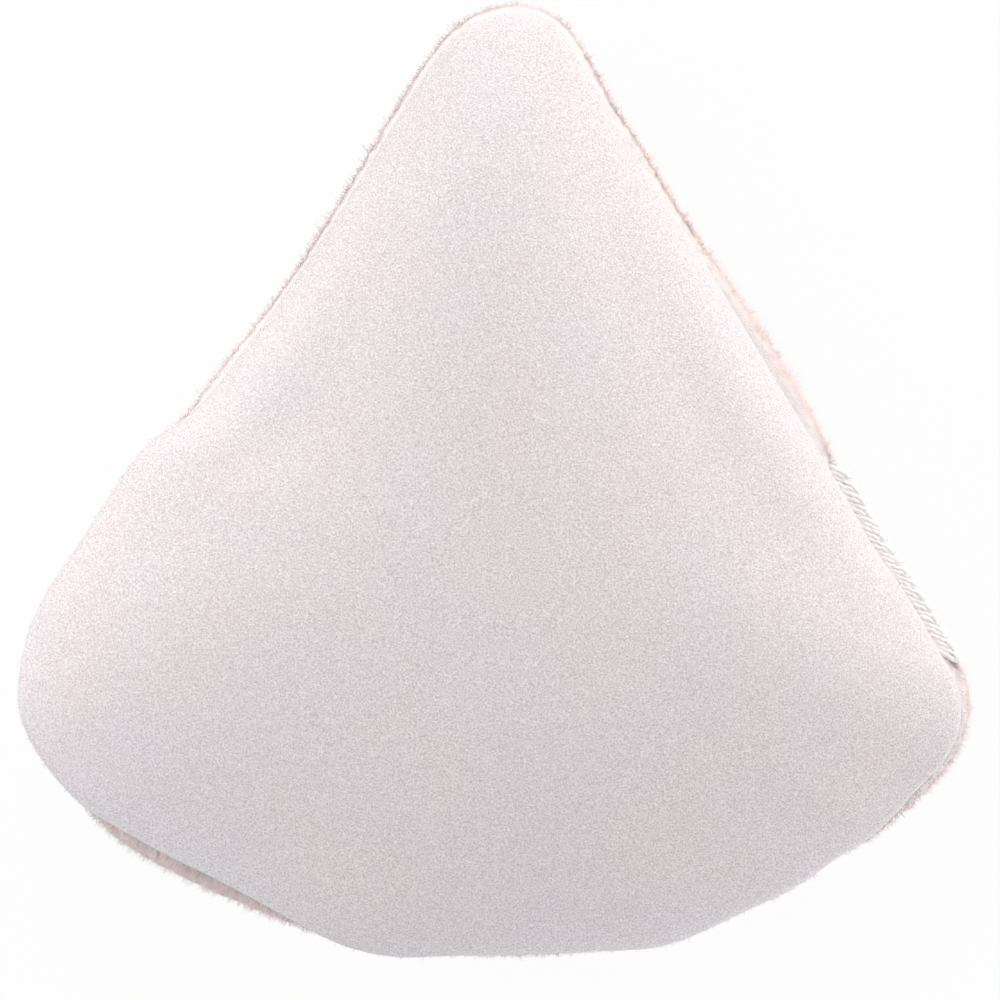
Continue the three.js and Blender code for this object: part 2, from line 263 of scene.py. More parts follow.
@dataclass(frozen=True)
class Drift:
    """How something varies round the edge: pairs of a distance and the value there."""

    places: tuple[Span, ...]
    softness: float = 1.1
    steps: int = 720

    def at(self, distance: Array, length: float) -> Array:
        """Reads the values, softened.

        Args:
            distance: distances along the edge.
            length: the length of the whole edge.

        Returns:
            The value at each distance.
        """
        even, step = np.arange(self.steps), length / self.steps
        rough = np.interp(even * step, *zip(*self.places), period=length)
        reach = int(3 * self.softness / step)
        window = np.exp(-0.5 * (np.arange(-reach, reach + 1) * step / self.softness) ** 2)
        wrapped = np.concatenate([rough[-reach:], rough, rough[:reach]])
        values = np.convolve(wrapped, window / window.sum(), mode="valid")
        return np.interp(distance, even * length / self.steps, values, period=length)


@dataclass(frozen=True)
class Rim:
    """The edge of the puff: its outline, its unevenness, the seam and the closing.

    A place is a distance along the face's outline, how far out from its edge, and
    a height from the seam plane. The drifts are how far out the face's edge and
    the plush stand, how far the plush fans up past the seam plane, how much painted
    light makes the plush paler, and where a painted rim light makes the face paler
    beside its edge.
    """

    outline: PanelOutline = PanelOutline(
        (Corner(28.8, -18.0, 8.0), Corner(1.275, 31.125, 5.9), Corner(-25.8, -14.85, 11.6)),
        (0.2, -1.1, 11.5),
    )
    crown: Span = (0.525, -6.0)
    face_out: Drift = Drift(
        (
            (0, -0.1), (5, 0.0), (8, -0.15), (10, -0.4), (13, -0.3), (16, -0.15), (24, -0.35),
            (38, -0.25), (50, -0.35), (56, 0.0), (60, 0.2), (65, -0.2), (71, 0.35), (80, 0.0),
            (91, -0.45), (103, -0.45), (105, 0.2), (107.5, 1.05), (112, 0.75), (116, 0.2),
            (118, -0.1), (122, -0.5), (127, -0.4), (132, 0.4), (136, 0.3), (140, 0.65),
            (145, -0.2), (152, -0.95), (157, -0.75), (164, 0.45), (168, 0.4), (172, -0.35),
            (178, -0.65), (184, -0.2), (189, 0.6), (196, 0.0), (200, 0.2), (204, -0.25),
            (208, 0.1), (213, -0.6), (219, 0.0),
        )
    )
    plush_out: Drift = Drift(
        (
            (0, 0.9), (3, 0.4), (7, 0.1), (14, 0.1), (18.5, 0.85), (24, 1.3), (32, 1.15),
            (38, 0.65), (44, 0.45), (48, 0.7), (50, 0.3), (54, 0.7), (60, 0.8), (66, 0.4),
            (70, 0.9), (74, 0.9), (80, 0.65), (86, 0.3), (92, 0.1), (100, 0.4), (104, 0.2),
            (108, -0.1), (115, -0.5), (125, -0.8), (135, -0.5), (139, 0.3), (144, 1.2),
            (149, 0.7), (154, 0.35), (161, 0.1), (166, -0.3), (176, -0.4), (190, -0.2),
            (203, -0.4), (208, 0.3), (216, 0.5), (220, 1.0), (223, 1.1),
        )
    )
    plush_lift: Drift = Drift(
        (
            (0, 1.0), (20, 1.3), (25, 1.75), (38, 1.85), (46, 2.0), (85, 2.0), (96, 1.7),
            (106, 0.8), (120, 0.0), (138, 0.1), (143, -0.1), (152, -0.35), (158, -0.1),
            (180, 0.1), (205, 0.2), (215, 0.5),
        ),
        2.0,
    )
    # painted light: how much paler the plush is painted round the edge, most along the top corner
    # and upper-left side, where it is lit
    plush_painted_light: Drift = Drift(
        ((0, 0), (40, 0), (50, 0.4), (58, 0.9), (64, 1), (100, 1), (108, 0.2), (114, 0)), 2.0
    )
    # painted rim light: where round the edge the face is painted paler beside its edge, along the
    # lower and lower-left sides
    face_painted_rim_light: Drift = Drift(
        (
            (0, 0), (108, 0), (125, 0.2), (136, 0.7), (142, 1), (156, 1), (164, 0.55),
            (205, 0.55), (214, 0),
        ),
        2.0,
    )
    seam_height: float = 7.5
    seam_tuck: float = 1.2
    closing_length: float = 18.0
    closing_blend: float = 2.0
    closing_wall: float = 0.45

    @property
    def length(self) -> float:
        """The length of the whole edge."""
        return self.outline.length

    @cached_property
    def shift(self) -> Array:
        """Where the outline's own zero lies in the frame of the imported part."""
        points, _ = self.outline.at(self.spaced(2880))
        low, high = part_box("face_cover")
        return np.array([low.x / MM - points[:, 0].min(), high.y / MM - points[:, 1].max()])

    @property
    def centre(self) -> Array:
        """The middle of the crown in plan, in metres."""
        return (np.array(self.crown) + self.shift) * MM

    def spaced(self, count: int) -> Array:
        """Gives this many distances, evenly spaced round the edge."""
        return np.linspace(0, self.length, count, endpoint=False)

    def fringe(self, distance: Array) -> Array:
        """Gives how far the plush reaches past the edge of the face."""
        return self.plush_out.at(distance, self.length) - self.face_out.at(distance, self.length)

    def lift(self, distance: Array) -> Array:
        """Gives how far the plush fans up past the seam plane."""
        return self.plush_lift.at(distance, self.length)

    def painted_light(self, distance: Array) -> Array:
        """Gives how much painted light makes the plush paler, from 0 to 1."""
        return self.plush_painted_light.at(distance, self.length)

    def closing(self, distance: Array, inset: float = 0.0) -> Array:
        """Says where the overlocked stretch is.

        Args:
            distance: distances along the edge.
            inset: how much the stretch is shortened at each end.

        Returns:
            1 along the stretch, falling to 0 past its ends.
        """
        half = self.closing_length / 2
        off = np.abs(np.mod(distance - half + self.length / 2, self.length) - self.length / 2)
        past = np.maximum(0.0, off - half + inset)
        return np.clip(1 - past / self.closing_blend, 0, 1)

    def place(self, distance: Array, out: Array | float, height: Array | float) -> Array:
        """Turns places of the edge into points.

        Args:
            distance: their distances along the face's outline.
            out: how far out from its edge they are.
            height: their heights from the seam plane.

        Returns:
            Points in metres, as rows.
        """
        points, normals = self.outline.at(distance)
        reach = np.broadcast_to(out, len(distance)) + self.face_out.at(distance, self.length)
        flat = points + normals * reach[:, None] + self.shift
        level = self.seam_height + np.broadcast_to(height, len(flat))
        return np.column_stack([flat, level]) * MM

    def beside(self, points: Array) -> tuple[Array, Array]:
        """Finds the nearest place of the edge in plan.

        Args:
            points: points in metres.

        Returns:
            The distance along the edge and how far off it each point is.
        """
        around, plan = self.spaced(1440), (1, 1, 0)
        edge = tree_of(self.place(around, 0.0, 0.0) * plan)
        found = np.array([edge.find(Vector(point))[1:] for point in points * plan])
        return around[found[:, 0].astype(int)], found[:, 1] / MM

    def drawn_in(self, edge: Array, share: Array, mean: float) -> tuple[Array, Array]:
        """Draws the edge in towards the crown's middle, rounder the nearer to it.

        Args:
            edge: points of the edge, in metres.
            share: how much of the way from the middle out is kept.
            mean: the mean span from the middle to the edge, in metres.

        Returns:
            The points in plan and how far each was drawn in, in metres.
        """
        spans = np.linalg.norm(edge[:, :2] - self.centre, axis=1)
        reach = share * mix(mean / spans, 1.0, share)
        plan = self.centre + (edge[:, :2] - self.centre) * reach[:, None]
        return plan, (1.0 - reach) * spans


class Bench:
    """The few modelling moves that every piece uses."""

    @staticmethod
    def clear() -> None:
        """Deselects everything, because an operator acts on all that is selected."""
        bpy.ops.object.select_all(action="DESELECT")

    @classmethod
    def pick(cls, *pieces: Piece) -> None:
        """Selects these pieces only, with the first one active."""
        cls.clear()
        for piece in pieces:
            piece.select_set(True)
        bpy.context.view_layer.objects.active = pieces[0]

    @classmethod
    @contextmanager
    def editing(cls, piece: Piece, everything: bool = True) -> Iterator[None]:
        """Keeps a piece in edit mode for the moves inside.

        Args:
            piece: the piece that is edited.
            everything: whether all of it is selected first.
        """
        cls.pick(piece)
        bpy.ops.object.mode_set(mode="EDIT")
        if everything:
            bpy.ops.mesh.select_all(action="SELECT")
        yield
        bpy.ops.object.mode_set(mode="OBJECT")

    @staticmethod
    def mark(piece: Piece, name: str, *channels: Array) -> None:
        """Writes values for each point into a colour that a finish reads.

        Args:
            piece: the piece that is marked.
            name: the colour's name.
            channels: up to three rows of values.
        """
        shades = np.ones((len(piece.data.vertices), 4))
        for index, values in enumerate(channels):
            shades[:, index] = values
        colour = piece.data.color_attributes.new(name, "FLOAT_COLOR", "POINT")
        colour.data.foreach_set("color", shades.ravel())

    @staticmethod
    def points(piece: Piece) -> Array:
        """Gives a piece's vertices as rows."""
        flat = np.empty(len(piece.data.vertices) * 3)
        piece.data.vertices.foreach_get("co", flat)
        return flat.reshape(-1, 3)

    @staticmethod
    def set_points(piece: Piece, points: Array) -> None:
        """Moves a piece's vertices to these rows."""
        piece.data.vertices.foreach_set("co", np.ascontiguousarray(points, float).ravel())
        piece.data.update()

    @classmethod
    def apply(cls, piece: Piece, kind: str, **settings: object) -> None:
        """Adds a modifier to a piece, sets it and applies it.

        Args:
            piece: the piece that is changed.
            kind: Blender's name of the modifier.
            settings: the modifier's own settings.
        """
        cls.pick(piece)
        modifier = piece.modifiers.new(kind.title(), kind)
        for name, value in settings.items():
            setattr(modifier, name, value)
        bpy.ops.object.modifier_apply(modifier=modifier.name)

    @classmethod
    def smooth(cls, piece: Piece) -> None:
        """Shades a piece smooth all over."""
        cls.pick(piece)
        bpy.ops.object.shade_smooth()

    @classmethod
    def roll_sheet(
        cls,
        name: str,
        grid: tuple[int, int],
        place: Callable[[Array, Array], Array],
        outside: Callable[[Array], Array],
    ) -> Piece:
        """Lays a grid of cloth where it belongs and closes it where its sides meet.

        Args:
            name: the piece's name.
            grid: its faces along and across.
            place: turns shares along and across the grid into points.
            outside: gives, for face middles, the directions that should be outward.

        Returns:
            The sheet, with its normals pointing out.
        """
        cls.clear()
        bpy.ops.mesh.primitive_grid_add(x_subdivisions=grid[0], y_subdivisions=grid[1], size=1)
        sheet = bpy.context.object
        sheet.name = sheet.data.name = name
        flat = cls.points(sheet)
        cls.set_points(sheet, place(flat[:, 0] + 0.5, flat[:, 1] + 0.5))
        with cls.editing(sheet):
            bpy.ops.mesh.remove_doubles(threshold=0.002 * MM)
            bpy.ops.mesh.normals_make_consistent(inside=False)
        middles = np.array([face.center for face in sheet.data.polygons])
        normals = np.array([face.normal for face in sheet.data.polygons])
        if (normals * outside(middles)).sum() < 0:
            with cls.editing(sheet):
                bpy.ops.mesh.flip_normals()
        return sheet

    @classmethod
    def join(cls, name: str, *pieces: Piece) -> Piece:
        """Joins pieces into the first one and gives it a name."""
        cls.pick(*pieces)
        bpy.ops.object.join()
        pieces[0].name = pieces[0].data.name = name
        return pieces[0]

    @classmethod
    def tube(cls, name: str, path: Array, radius: float, sides: int) -> Piece:
        """Makes a thread along a path from a bevelled curve.

        Args:
            name: the piece's name.
            path: the points of its middle line, in metres.
            radius: half its thickness, in metres.
            sides: 4, 6 or 8 faces round it.

        Returns:
            The thread as a mesh with closed ends.
        """
        line = bpy.data.curves.new(name, "CURVE")
        line.dimensions, line.twist_mode = "3D", "MINIMUM"
        line.bevel_depth, line.bevel_resolution = radius, (sides - 4) // 2
        line.use_fill_caps = True
        spline = line.splines.new("POLY")
        spline.points.add(len(path) - 1)
        spline.points.foreach_set("co", np.column_stack([path, np.ones(len(path))]).ravel())
        piece = bpy.data.objects.new(name, line)
        bpy.context.collection.objects.link(piece)
        cls.pick(piece)
        bpy.ops.object.convert(target="MESH")
        thread = bpy.context.object
        with cls.editing(thread):
            bpy.ops.mesh.remove_doubles(threshold=0.0005 * MM)
            bpy.ops.mesh.normals_make_consistent(inside=False)
        cls.smooth(thread)
        return thread

    @classmethod
    def triangles(cls, name: str, points: Array, corners: Array) -> Piece:
        """Makes a smooth mesh from points and triangles.

        Args:
            name: the piece's name.
            points: its vertices, in metres, as rows.
            corners: three vertex numbers for each triangle, as rows.

        Returns:
            The piece.
        """
        mesh = bpy.data.meshes.new(name)
        mesh.vertices.add(len(points))
        mesh.vertices.foreach_set("co", points.ravel())
        mesh.loops.add(corners.size)
        mesh.loops.foreach_set("vertex_index", corners.ravel().astype(np.int32))
        mesh.polygons.add(len(corners))
        mesh.polygons.foreach_set("loop_start", np.arange(0, corners.size, 3, dtype=np.int32))
        mesh.update(calc_edges=True)
        piece = bpy.data.objects.new(name, mesh)
        bpy.context.collection.objects.link(piece)
        cls.smooth(piece)
        return piece


class NodeBoard:
    """The nodes of a finish, the floor or the world, and short calls that add some."""

    def __init__(self, owner: bpy.types.ID, shader: str = "Principled BSDF") -> None:
        """Opens the owner's nodes, which hold this shader and the output."""
        owner.use_nodes = True
        self.owner, self.tree = owner, owner.node_tree
        self.shader = self.tree.nodes[shader]

    def fill(self, socket: Socket, value: object) -> None:
        """Gives a socket a link, a colour or a plain value."""
        if isinstance(value, bpy.types.NodeSocket):
            self.tree.links.new(value, socket)
        else:
            socket.default_value = (*value, 1.0) if socket.type == "RGBA" else value

    def set(self, **values: object) -> None:
        """Fills the shader's sockets, named with _ for each space."""
        for name, value in values.items():
            self.fill(self.shader.inputs[name.replace("_", " ")], value)

    def add(self, kind: str, inputs: dict, **options: str) -> bpy.types.NodeOutputs:
        """Adds a node.

        Args:
            kind: Blender's name of the node, without its first word.
            inputs: what fills its sockets, by name or number.
            options: the node's own choices.

        Returns:
            The node's outputs.
        """
        node = self.tree.nodes.new(f"ShaderNode{kind}")
        for name, value in options.items():
            setattr(node, name, value)
        for key, value in inputs.items():
            self.fill(node.inputs[key], value)
        return node.outputs

    @cached_property
    def place(self) -> Socket:
        """The coordinates of the piece."""
        return self.add("TexCoord", {})["Object"]

    def noise(self, size: float, detail: float = 2.0, rough: float = 0.5) -> Socket:
        """Gives noise whose lumps are about this size, in metres."""
        sockets = {"Vector": self.place, "Scale": 1.0 / size, "Detail": detail}
        return self.add("TexNoise", {**sockets, "Roughness": rough})["Fac"]

    def cells(self, size: float) -> Socket:
        """Gives the distance from the middles of cells of this size, in metres."""
        return self.add("TexVoronoi", {"Vector": self.place, "Scale": 1.0 / size})["Distance"]

    def spread(self, value: Socket, low: float, high: float) -> Socket:
        """Stretches a value so that low becomes 0 and high becomes 1."""
        return self.add("MapRange", {"Value": value, "From Min": low, "From Max": high})["Result"]

    def math(self, kind: str, first: Socket, second: Socket | float) -> Socket:
        """Works out one sum from a socket and a socket or a number."""
        return self.add("Math", {0: first, 1: second}, operation=kind)["Value"]

    def blend(self, share: Socket, low: Colour | Socket, high: Colour | Socket) -> Socket:
        """Mixes two colours, each given as numbers or as a socket."""
        return self.add("Mix", {"Factor": share, 6: low, 7: high}, data_type="RGBA")[2]

    def tinted(self, colour: Socket, tint: Socket) -> Socket:
        """Multiplies one colour by another."""
        sockets = {"Factor": 1.0, 6: colour, 7: tint}
        return self.add("Mix", sockets, data_type="RGBA", blend_type="MULTIPLY")[2]

    def bump(self, height: Socket, depth: float, strength: float = 1.0) -> None:
        """Raises the surface by a height of this depth, in metres."""
        sockets = {"Height": height, "Distance": depth, "Strength": strength}
        self.set(Normal=self.add("Bump", sockets)["Normal"])

    def attribute(self, name: str) -> tuple[Socket, ...]:
        """Gives the three channels of a colour that the mesh holds."""
        colour = self.add("Attribute", {}, attribute_name=name)["Color"]
        return tuple(self.add("SeparateColor", {"Color": colour}).values())

    def seen_as(self, share: Socket, white: Socket) -> None:
        """Shows white in place of the shader for this share of the rays."""
        shown = self.add("MixShader", {0: share, 1: self.shader.outputs[0], 2: white})[0]
        output = next(node for node in self.tree.nodes if node.type.startswith("OUTPUT"))
        self.fill(output.inputs["Surface"], shown)


@dataclass(frozen=True)
class BrushedMicrofibre:
    """Smooth face fabric with a fine speckled nap, dimmed by painted shade at its edge and made
    paler by a painted rim light beside its lower edges.
    """

    dark: Colour = (0.640, 0.560, 0.590)
    light: Colour = (1.0, 0.945, 0.970)
    warm: Colour = (1.0, 0.985, 0.975)
    cool: Colour = (0.975, 0.985, 1.0)
    # painted shade: this colour dims the face next to its edge, where it meets the plush
    edge: Colour = (0.90, 0.91, 0.90)
    # painted highlight: the paler, cooler colour of the face beside its lower edges
    painted_rim_light: Colour = (1.075, 1.11, 1.13)
    sheen: Colour = (0.93, 0.96, 1.0)
    speck: float = 0.00014
    speck_depth: float = 0.00003
    cloud: float = 0.009

    def material(self) -> bpy.types.Material:
        """Makes the finish."""
        board = NodeBoard(bpy.data.materials.new("brushed_microfibre"))
        specks = board.spread(board.noise(self.speck, 1.0, 0.5), 0.25, 0.75)
        clouds = board.spread(board.noise(self.cloud, 2.0), 0.3, 0.7)
        near, painted_rim_light, _ = board.attribute("rim")
        body = board.blend(specks, self.dark, self.light)
        tint = board.blend(clouds, self.warm, self.cool)
        # painted shade next to the edge, times the painted rim light beside the lower edges
        edge = board.tinted(
            board.blend(near, WHITE, self.edge), board.blend(painted_rim_light, WHITE, self.painted_rim_light)
        )
        board.set(Base_Color=board.tinted(board.tinted(body, tint), edge))
        board.bump(specks, self.speck_depth, 0.5)
        board.set(Roughness=0.92, Specular_IOR_Level=0.15)
        board.set(Sheen_Weight=0.3, Sheen_Roughness=0.35, Sheen_Tint=self.sheen)
        return board.owner


@dataclass(frozen=True)
class PileFibre:
    """Soft fibre of the back, darker at its root than at its tip with painted shade, and made paler
    by painted light where the fringe is lit.
    """

    # painted shade: the root colour darkens the fibre low down, where its neighbours shade it
    root: Colour = (0.900, 0.710, 0.690)
    tip: Colour = (0.960, 0.850, 0.840)
    painted_light: Colour = (1.0, 0.980, 0.985)

    def material(self) -> bpy.types.Material:
        """Makes the finish."""
        board = NodeBoard(bpy.data.materials.new("pile_fibre"))
        along, own, clump = board.attribute("fibre")
        body = board.blend(board.spread(along, 0.0, 0.75), self.root, self.tip)
        # share of the painted light colour: random for each fibre and clump, raised where the
        # fringe is lit
        share = board.math("MULTIPLY", board.math("MULTIPLY", own, clump), 0.9)
        board.set(Base_Color=board.blend(share, body, self.painted_light), Roughness=0.85)
        board.set(Specular_IOR_Level=0.2, Sheen_Weight=0.2, Sheen_Roughness=0.4)
        return board.owner


@dataclass(frozen=True)
class PileBed:
    """The dense pile between the fibres that stand out, with painted shade between its tufts and
    fine fibres and painted light on its top beside the face.
    """

    # deep and lit are shaded and lit copies of the pile's colour, mixed by tufts as painted shade
    # between them
    deep: Colour = (0.860, 0.650, 0.630)
    lit: Colour = (0.940, 0.790, 0.775)
    # painted highlight: the paler colour of the pile's top beside the face, on its lit sides
    shelf: Colour = (1.0, 0.910, 0.905)
    # painted light: the paler colour where the plush is painted as lit
    painted_light: Colour = (1.0, 0.975, 0.980)
    # painted shade: darkens the pile between its fine fibres
    gap: Colour = (0.940, 0.900, 0.900)
    tuft: float = 0.0008
    fibre: float = 0.00012

    def material(self) -> bpy.types.Material:
        """Makes the finish."""
        board = NodeBoard(bpy.data.materials.new("pile_bed"))
        tufts = board.spread(board.noise(self.tuft, 3.0, 0.65), 0.3, 0.6)
        fibres = board.spread(board.noise(self.fibre, 2.0), 0.3, 0.7)
        shelf, painted_light, _ = board.attribute("rim")
        # painted shade between tufts, then the painted highlight on the lit top, then the painted
        # light
        colour = board.blend(shelf, board.blend(tufts, self.deep, self.lit), self.shelf)
        colour = board.blend(painted_light, colour, self.painted_light)
        # painted shade between the fine fibres
        board.set(Base_Color=board.tinted(colour, board.blend(fibres, self.gap, WHITE)))
        board.bump(fibres, 0.00012, 0.6)
        board.set(Roughness=0.95, Specular_IOR_Level=0.1, Sheen_Weight=0.3, Sheen_Roughness=0.4)
        return board.owner


@dataclass(frozen=True)
class GroundKnit:
    """Fine knit that carries the pile, of small loops."""

    name: str = "ground_knit"
    middle: Colour = (0.880, 0.720, 0.710)
    # painted shade: the darker walls between the loops, where they lie low
    wall: Colour = (0.680, 0.480, 0.470)
    cell: float = 0.0007
    reach: Span = (0.1, 0.6)
    depth: float = -0.00012
    roughness: float = 0.95

    def material(self) -> bpy.types.Material:
        """Makes the finish, whose small cells have a middle and a wall."""
        board = NodeBoard(bpy.data.materials.new(self.name))
        cells = board.spread(board.cells(self.cell), *self.reach)
        # the darker of the two colours paints shade where the cell lies low
        board.set(Base_Color=board.blend(cells, self.middle, self.wall))
        board.bump(cells, self.depth)
        board.set(Roughness=self.roughness, Specular_IOR_Level=0.1)
        return board.owner


@dataclass(frozen=True)
class OpenCellFoam(GroundKnit):
    """Soft cream foam with small open cells, laid out as the knit's loops are."""

    name: str = "open_cell_foam"
    # painted shade: the darker middles of the open cells, which lie low
    middle: Colour = (0.620, 0.540, 0.440)
    wall: Colour = (0.890, 0.830, 0.730)
    cell: float = 0.0006
    reach: Span = (0.05, 0.45)
    depth: float = 0.00015
    roughness: float = 1.0


@dataclass(frozen=True)
class SpunThread:
    """Spun thread, paler where its fibres catch the light."""

    name: str = "spun_thread"
    shade: Colour = (0.74, 0.68, 0.66)
    light: Colour = (0.90, 0.86, 0.84)
    fibre: float = 0.0001

    def material(self) -> bpy.types.Material:
        """Makes the finish."""
        board = NodeBoard(bpy.data.materials.new(self.name))
        fine = board.spread(board.noise(self.fibre, 2.0), 0.3, 0.7)
        board.set(Base_Color=board.blend(fine, self.shade, self.light))
        board.bump(fine, 0.00002, 0.5)
        board.set(Roughness=0.8, Specular_IOR_Level=0.3, Sheen_Weight=1.0, Sheen_Roughness=0.6)
        return board.owner


@dataclass(frozen=True)
class WoollyYarn(SpunThread):
    """The soft cream yarn of the overlocked seam."""

    name: str = "woolly_yarn"
    shade: Colour = (1.0, 0.955, 0.965)
    light: Colour = (1.0, 0.985, 0.995)
    fibre: float = 0.00008


@dataclass
class InflatedForm:
    """The bare pillow that both panels follow, swelled by a cloth simulation.

    It is simulated enlarged, because cloth behaves best at the size of a seat pad.
    The voxel and the furthest move are in metres of that size.
    """

    rim: Rim
    ring: int = 96
    shares: tuple[float, ...] = (0.97, 0.92, 0.84, 0.72, 0.56, 0.38, 0.2, 0.06)
    smaller: float = 0.9
    enlarged: float = 5.0
    voxel: float = 0.0055
    pressure: float = 4.0
    most_move: float = 0.012
    frames: int = 20
    tree: BVHTree | None = None

    def build(self) -> None:
        """Makes the form, keeps it for ray casts and removes its object."""
        form = self._blank()
        self._inflate(form)
        points = Bench.points(form) / self.enlarged
        self._fit_heights(points)
        faces = [tuple(face.vertices) for face in form.data.polygons]
        self.tree = BVHTree.FromPolygons([Vector(point) for point in points], faces)
        bpy.data.objects.remove(form, do_unlink=True)

    def _blank(self) -> Piece:
        """Models the slightly smaller pillow by extruding a ring up and down."""
        Bench.clear()
        bpy.ops.mesh.primitive_circle_add(vertices=self.ring, radius=0.1, fill_type="NOTHING")
        form = bpy.context.object
        form.name = "inflated_form"
        distance = np.arange(self.ring) * self.rim.length / self.ring
        ring = self.rim.place(distance, -0.1, Side.FACE.value.shoulder)
        Bench.set_points(form, ring * self.enlarged)
        for side in Side:
            self._raise(form, side)
        with Bench.editing(form):
            bpy.ops.mesh.normals_make_consistent(inside=False)
        form.data.remesh_voxel_size = self.voxel
        bpy.ops.object.voxel_remesh()
        Bench.apply(form, "SMOOTH", factor=0.5, iterations=6)
        return form

    def _raise(self, form: Piece, side: Side) -> None:
        """Extrudes one side of the pillow from its rim to its middle.

        Args:
            form: the ring at the face's shoulder, or the ring with its first side.
            side: the side that is raised.
        """
        centre = Vector((*(self.rim.centre * self.enlarged), 0.0))
        with Bench.editing(form, everything=False):
            bpy.ops.mesh.select_mode(type="VERT")
            bpy.ops.mesh.select_all(action="DESELECT")
        for vertex in form.data.vertices[: self.ring]:
            vertex.select = True
        loft, level, last = side.value, Side.FACE.value.shoulder, 1.0
        with Bench.editing(form, everything=False):
            if side is Side.BACK:
                self._extrude(-(level + loft.shoulder))
                level = -loft.shoulder
            for share in self.shares:
                top = loft.sign * mix(loft.shoulder, loft.rise * self.smaller, swell(share))
                self._extrude(top - level)
                value = (share / last, share / last, 1)
                bpy.ops.transform.resize(value=value, center_override=centre)
                level, last = top, share
            bpy.ops.mesh.edge_face_add()

    def _extrude(self, climb: float) -> None:
        """Extrudes the selected ring up, by millimetres of the real puff."""
        move = {"value": (0, 0, climb * MM * self.enlarged)}
        bpy.ops.mesh.extrude_edges_move(TRANSFORM_OT_translate=move)

    def _inflate(self, form: Piece) -> None:
        """Swells the pillow with cloth under pressure, held round its rim.

        Args:
            form: the remeshed pillow, of which no point moves further than most_move.
        """
        start = Bench.points(form)
        seam = self.rim.seam_height * MM * self.enlarged
        low, high = (
            seam + side.value.sign * (side.value.shoulder * MM * self.enlarged + 0.6 * self.voxel)
            for side in (Side.BACK, Side.FACE)
        )
        held = np.flatnonzero((start[:, 2] > low) & (start[:, 2] < high))
        form.vertex_groups.new(name="held").add([int(index) for index in held], 1.0, "REPLACE")
        cloth = form.modifiers.new("Cloth", "CLOTH")
        cloth.settings.use_pressure = True
        cloth.settings.uniform_pressure_force = self.pressure
        cloth.settings.vertex_group_mass = "held"
        cloth.settings.quality = 5
        cloth.settings.effector_weights.gravity = 0.0
        cloth.point_cache.frame_start = 1
        cloth.point_cache.frame_end = self.frames
        scene = bpy.context.scene
        for number in range(1, self.frames + 1):
            scene.frame_set(number)
        Bench.pick(form)
        bpy.ops.object.modifier_apply(modifier=cloth.name)
        scene.frame_set(1)
        moved = Bench.points(form) - start
        length = np.linalg.norm(moved, axis=1, keepdims=True)
        log.info("inflated form moved by %.2f mm at most", length.max() / self.enlarged / MM)
        moved *= np.minimum(1.0, self.most_move / np.maximum(length, 1e-9))
        Bench.set_points(form, start + moved)
        Bench.apply(form, "SMOOTH", factor=0.5, iterations=4)

    def _fit_heights(self, points: Array) -> None:
        """Stretches both sides so that their middles have the part's heights.

        Args:
            points: the form's points at the real size, which are changed.
        """
        seam = self.rim.seam_height * MM
        for loft in (side.value for side in Side):
            shoulder = loft.shoulder * MM
            height = loft.sign * (points[:, 2] - seam)
            above = height > shoulder
            grown = (height[above] - shoulder) / (height[above].max() - shoulder)
            points[above, 2] = seam + loft.sign * mix(shoulder, loft.rise * MM, grown)

    def height(self, plan: Array, side: Side) -> Array:
        """Gives the form's height over the seam plane, in millimetres.

        Args:
            plan: points in plan, in metres.
            side: the side that is looked at.

        Returns:
            One height for each point, not a number where the form isn't met.
        """
        sign = side.value.sign
        down = Vector((0.0, 0.0, -sign))
        heights = np.full(len(plan), np.nan)
        for index, (x, y) in enumerate(plan):
            hit = self.tree.ray_cast(Vector((x, y, sign * 0.1)), down)[0]
            if hit is not None:
                heights[index] = sign * (hit.z / MM - self.rim.seam_height)
        return heights


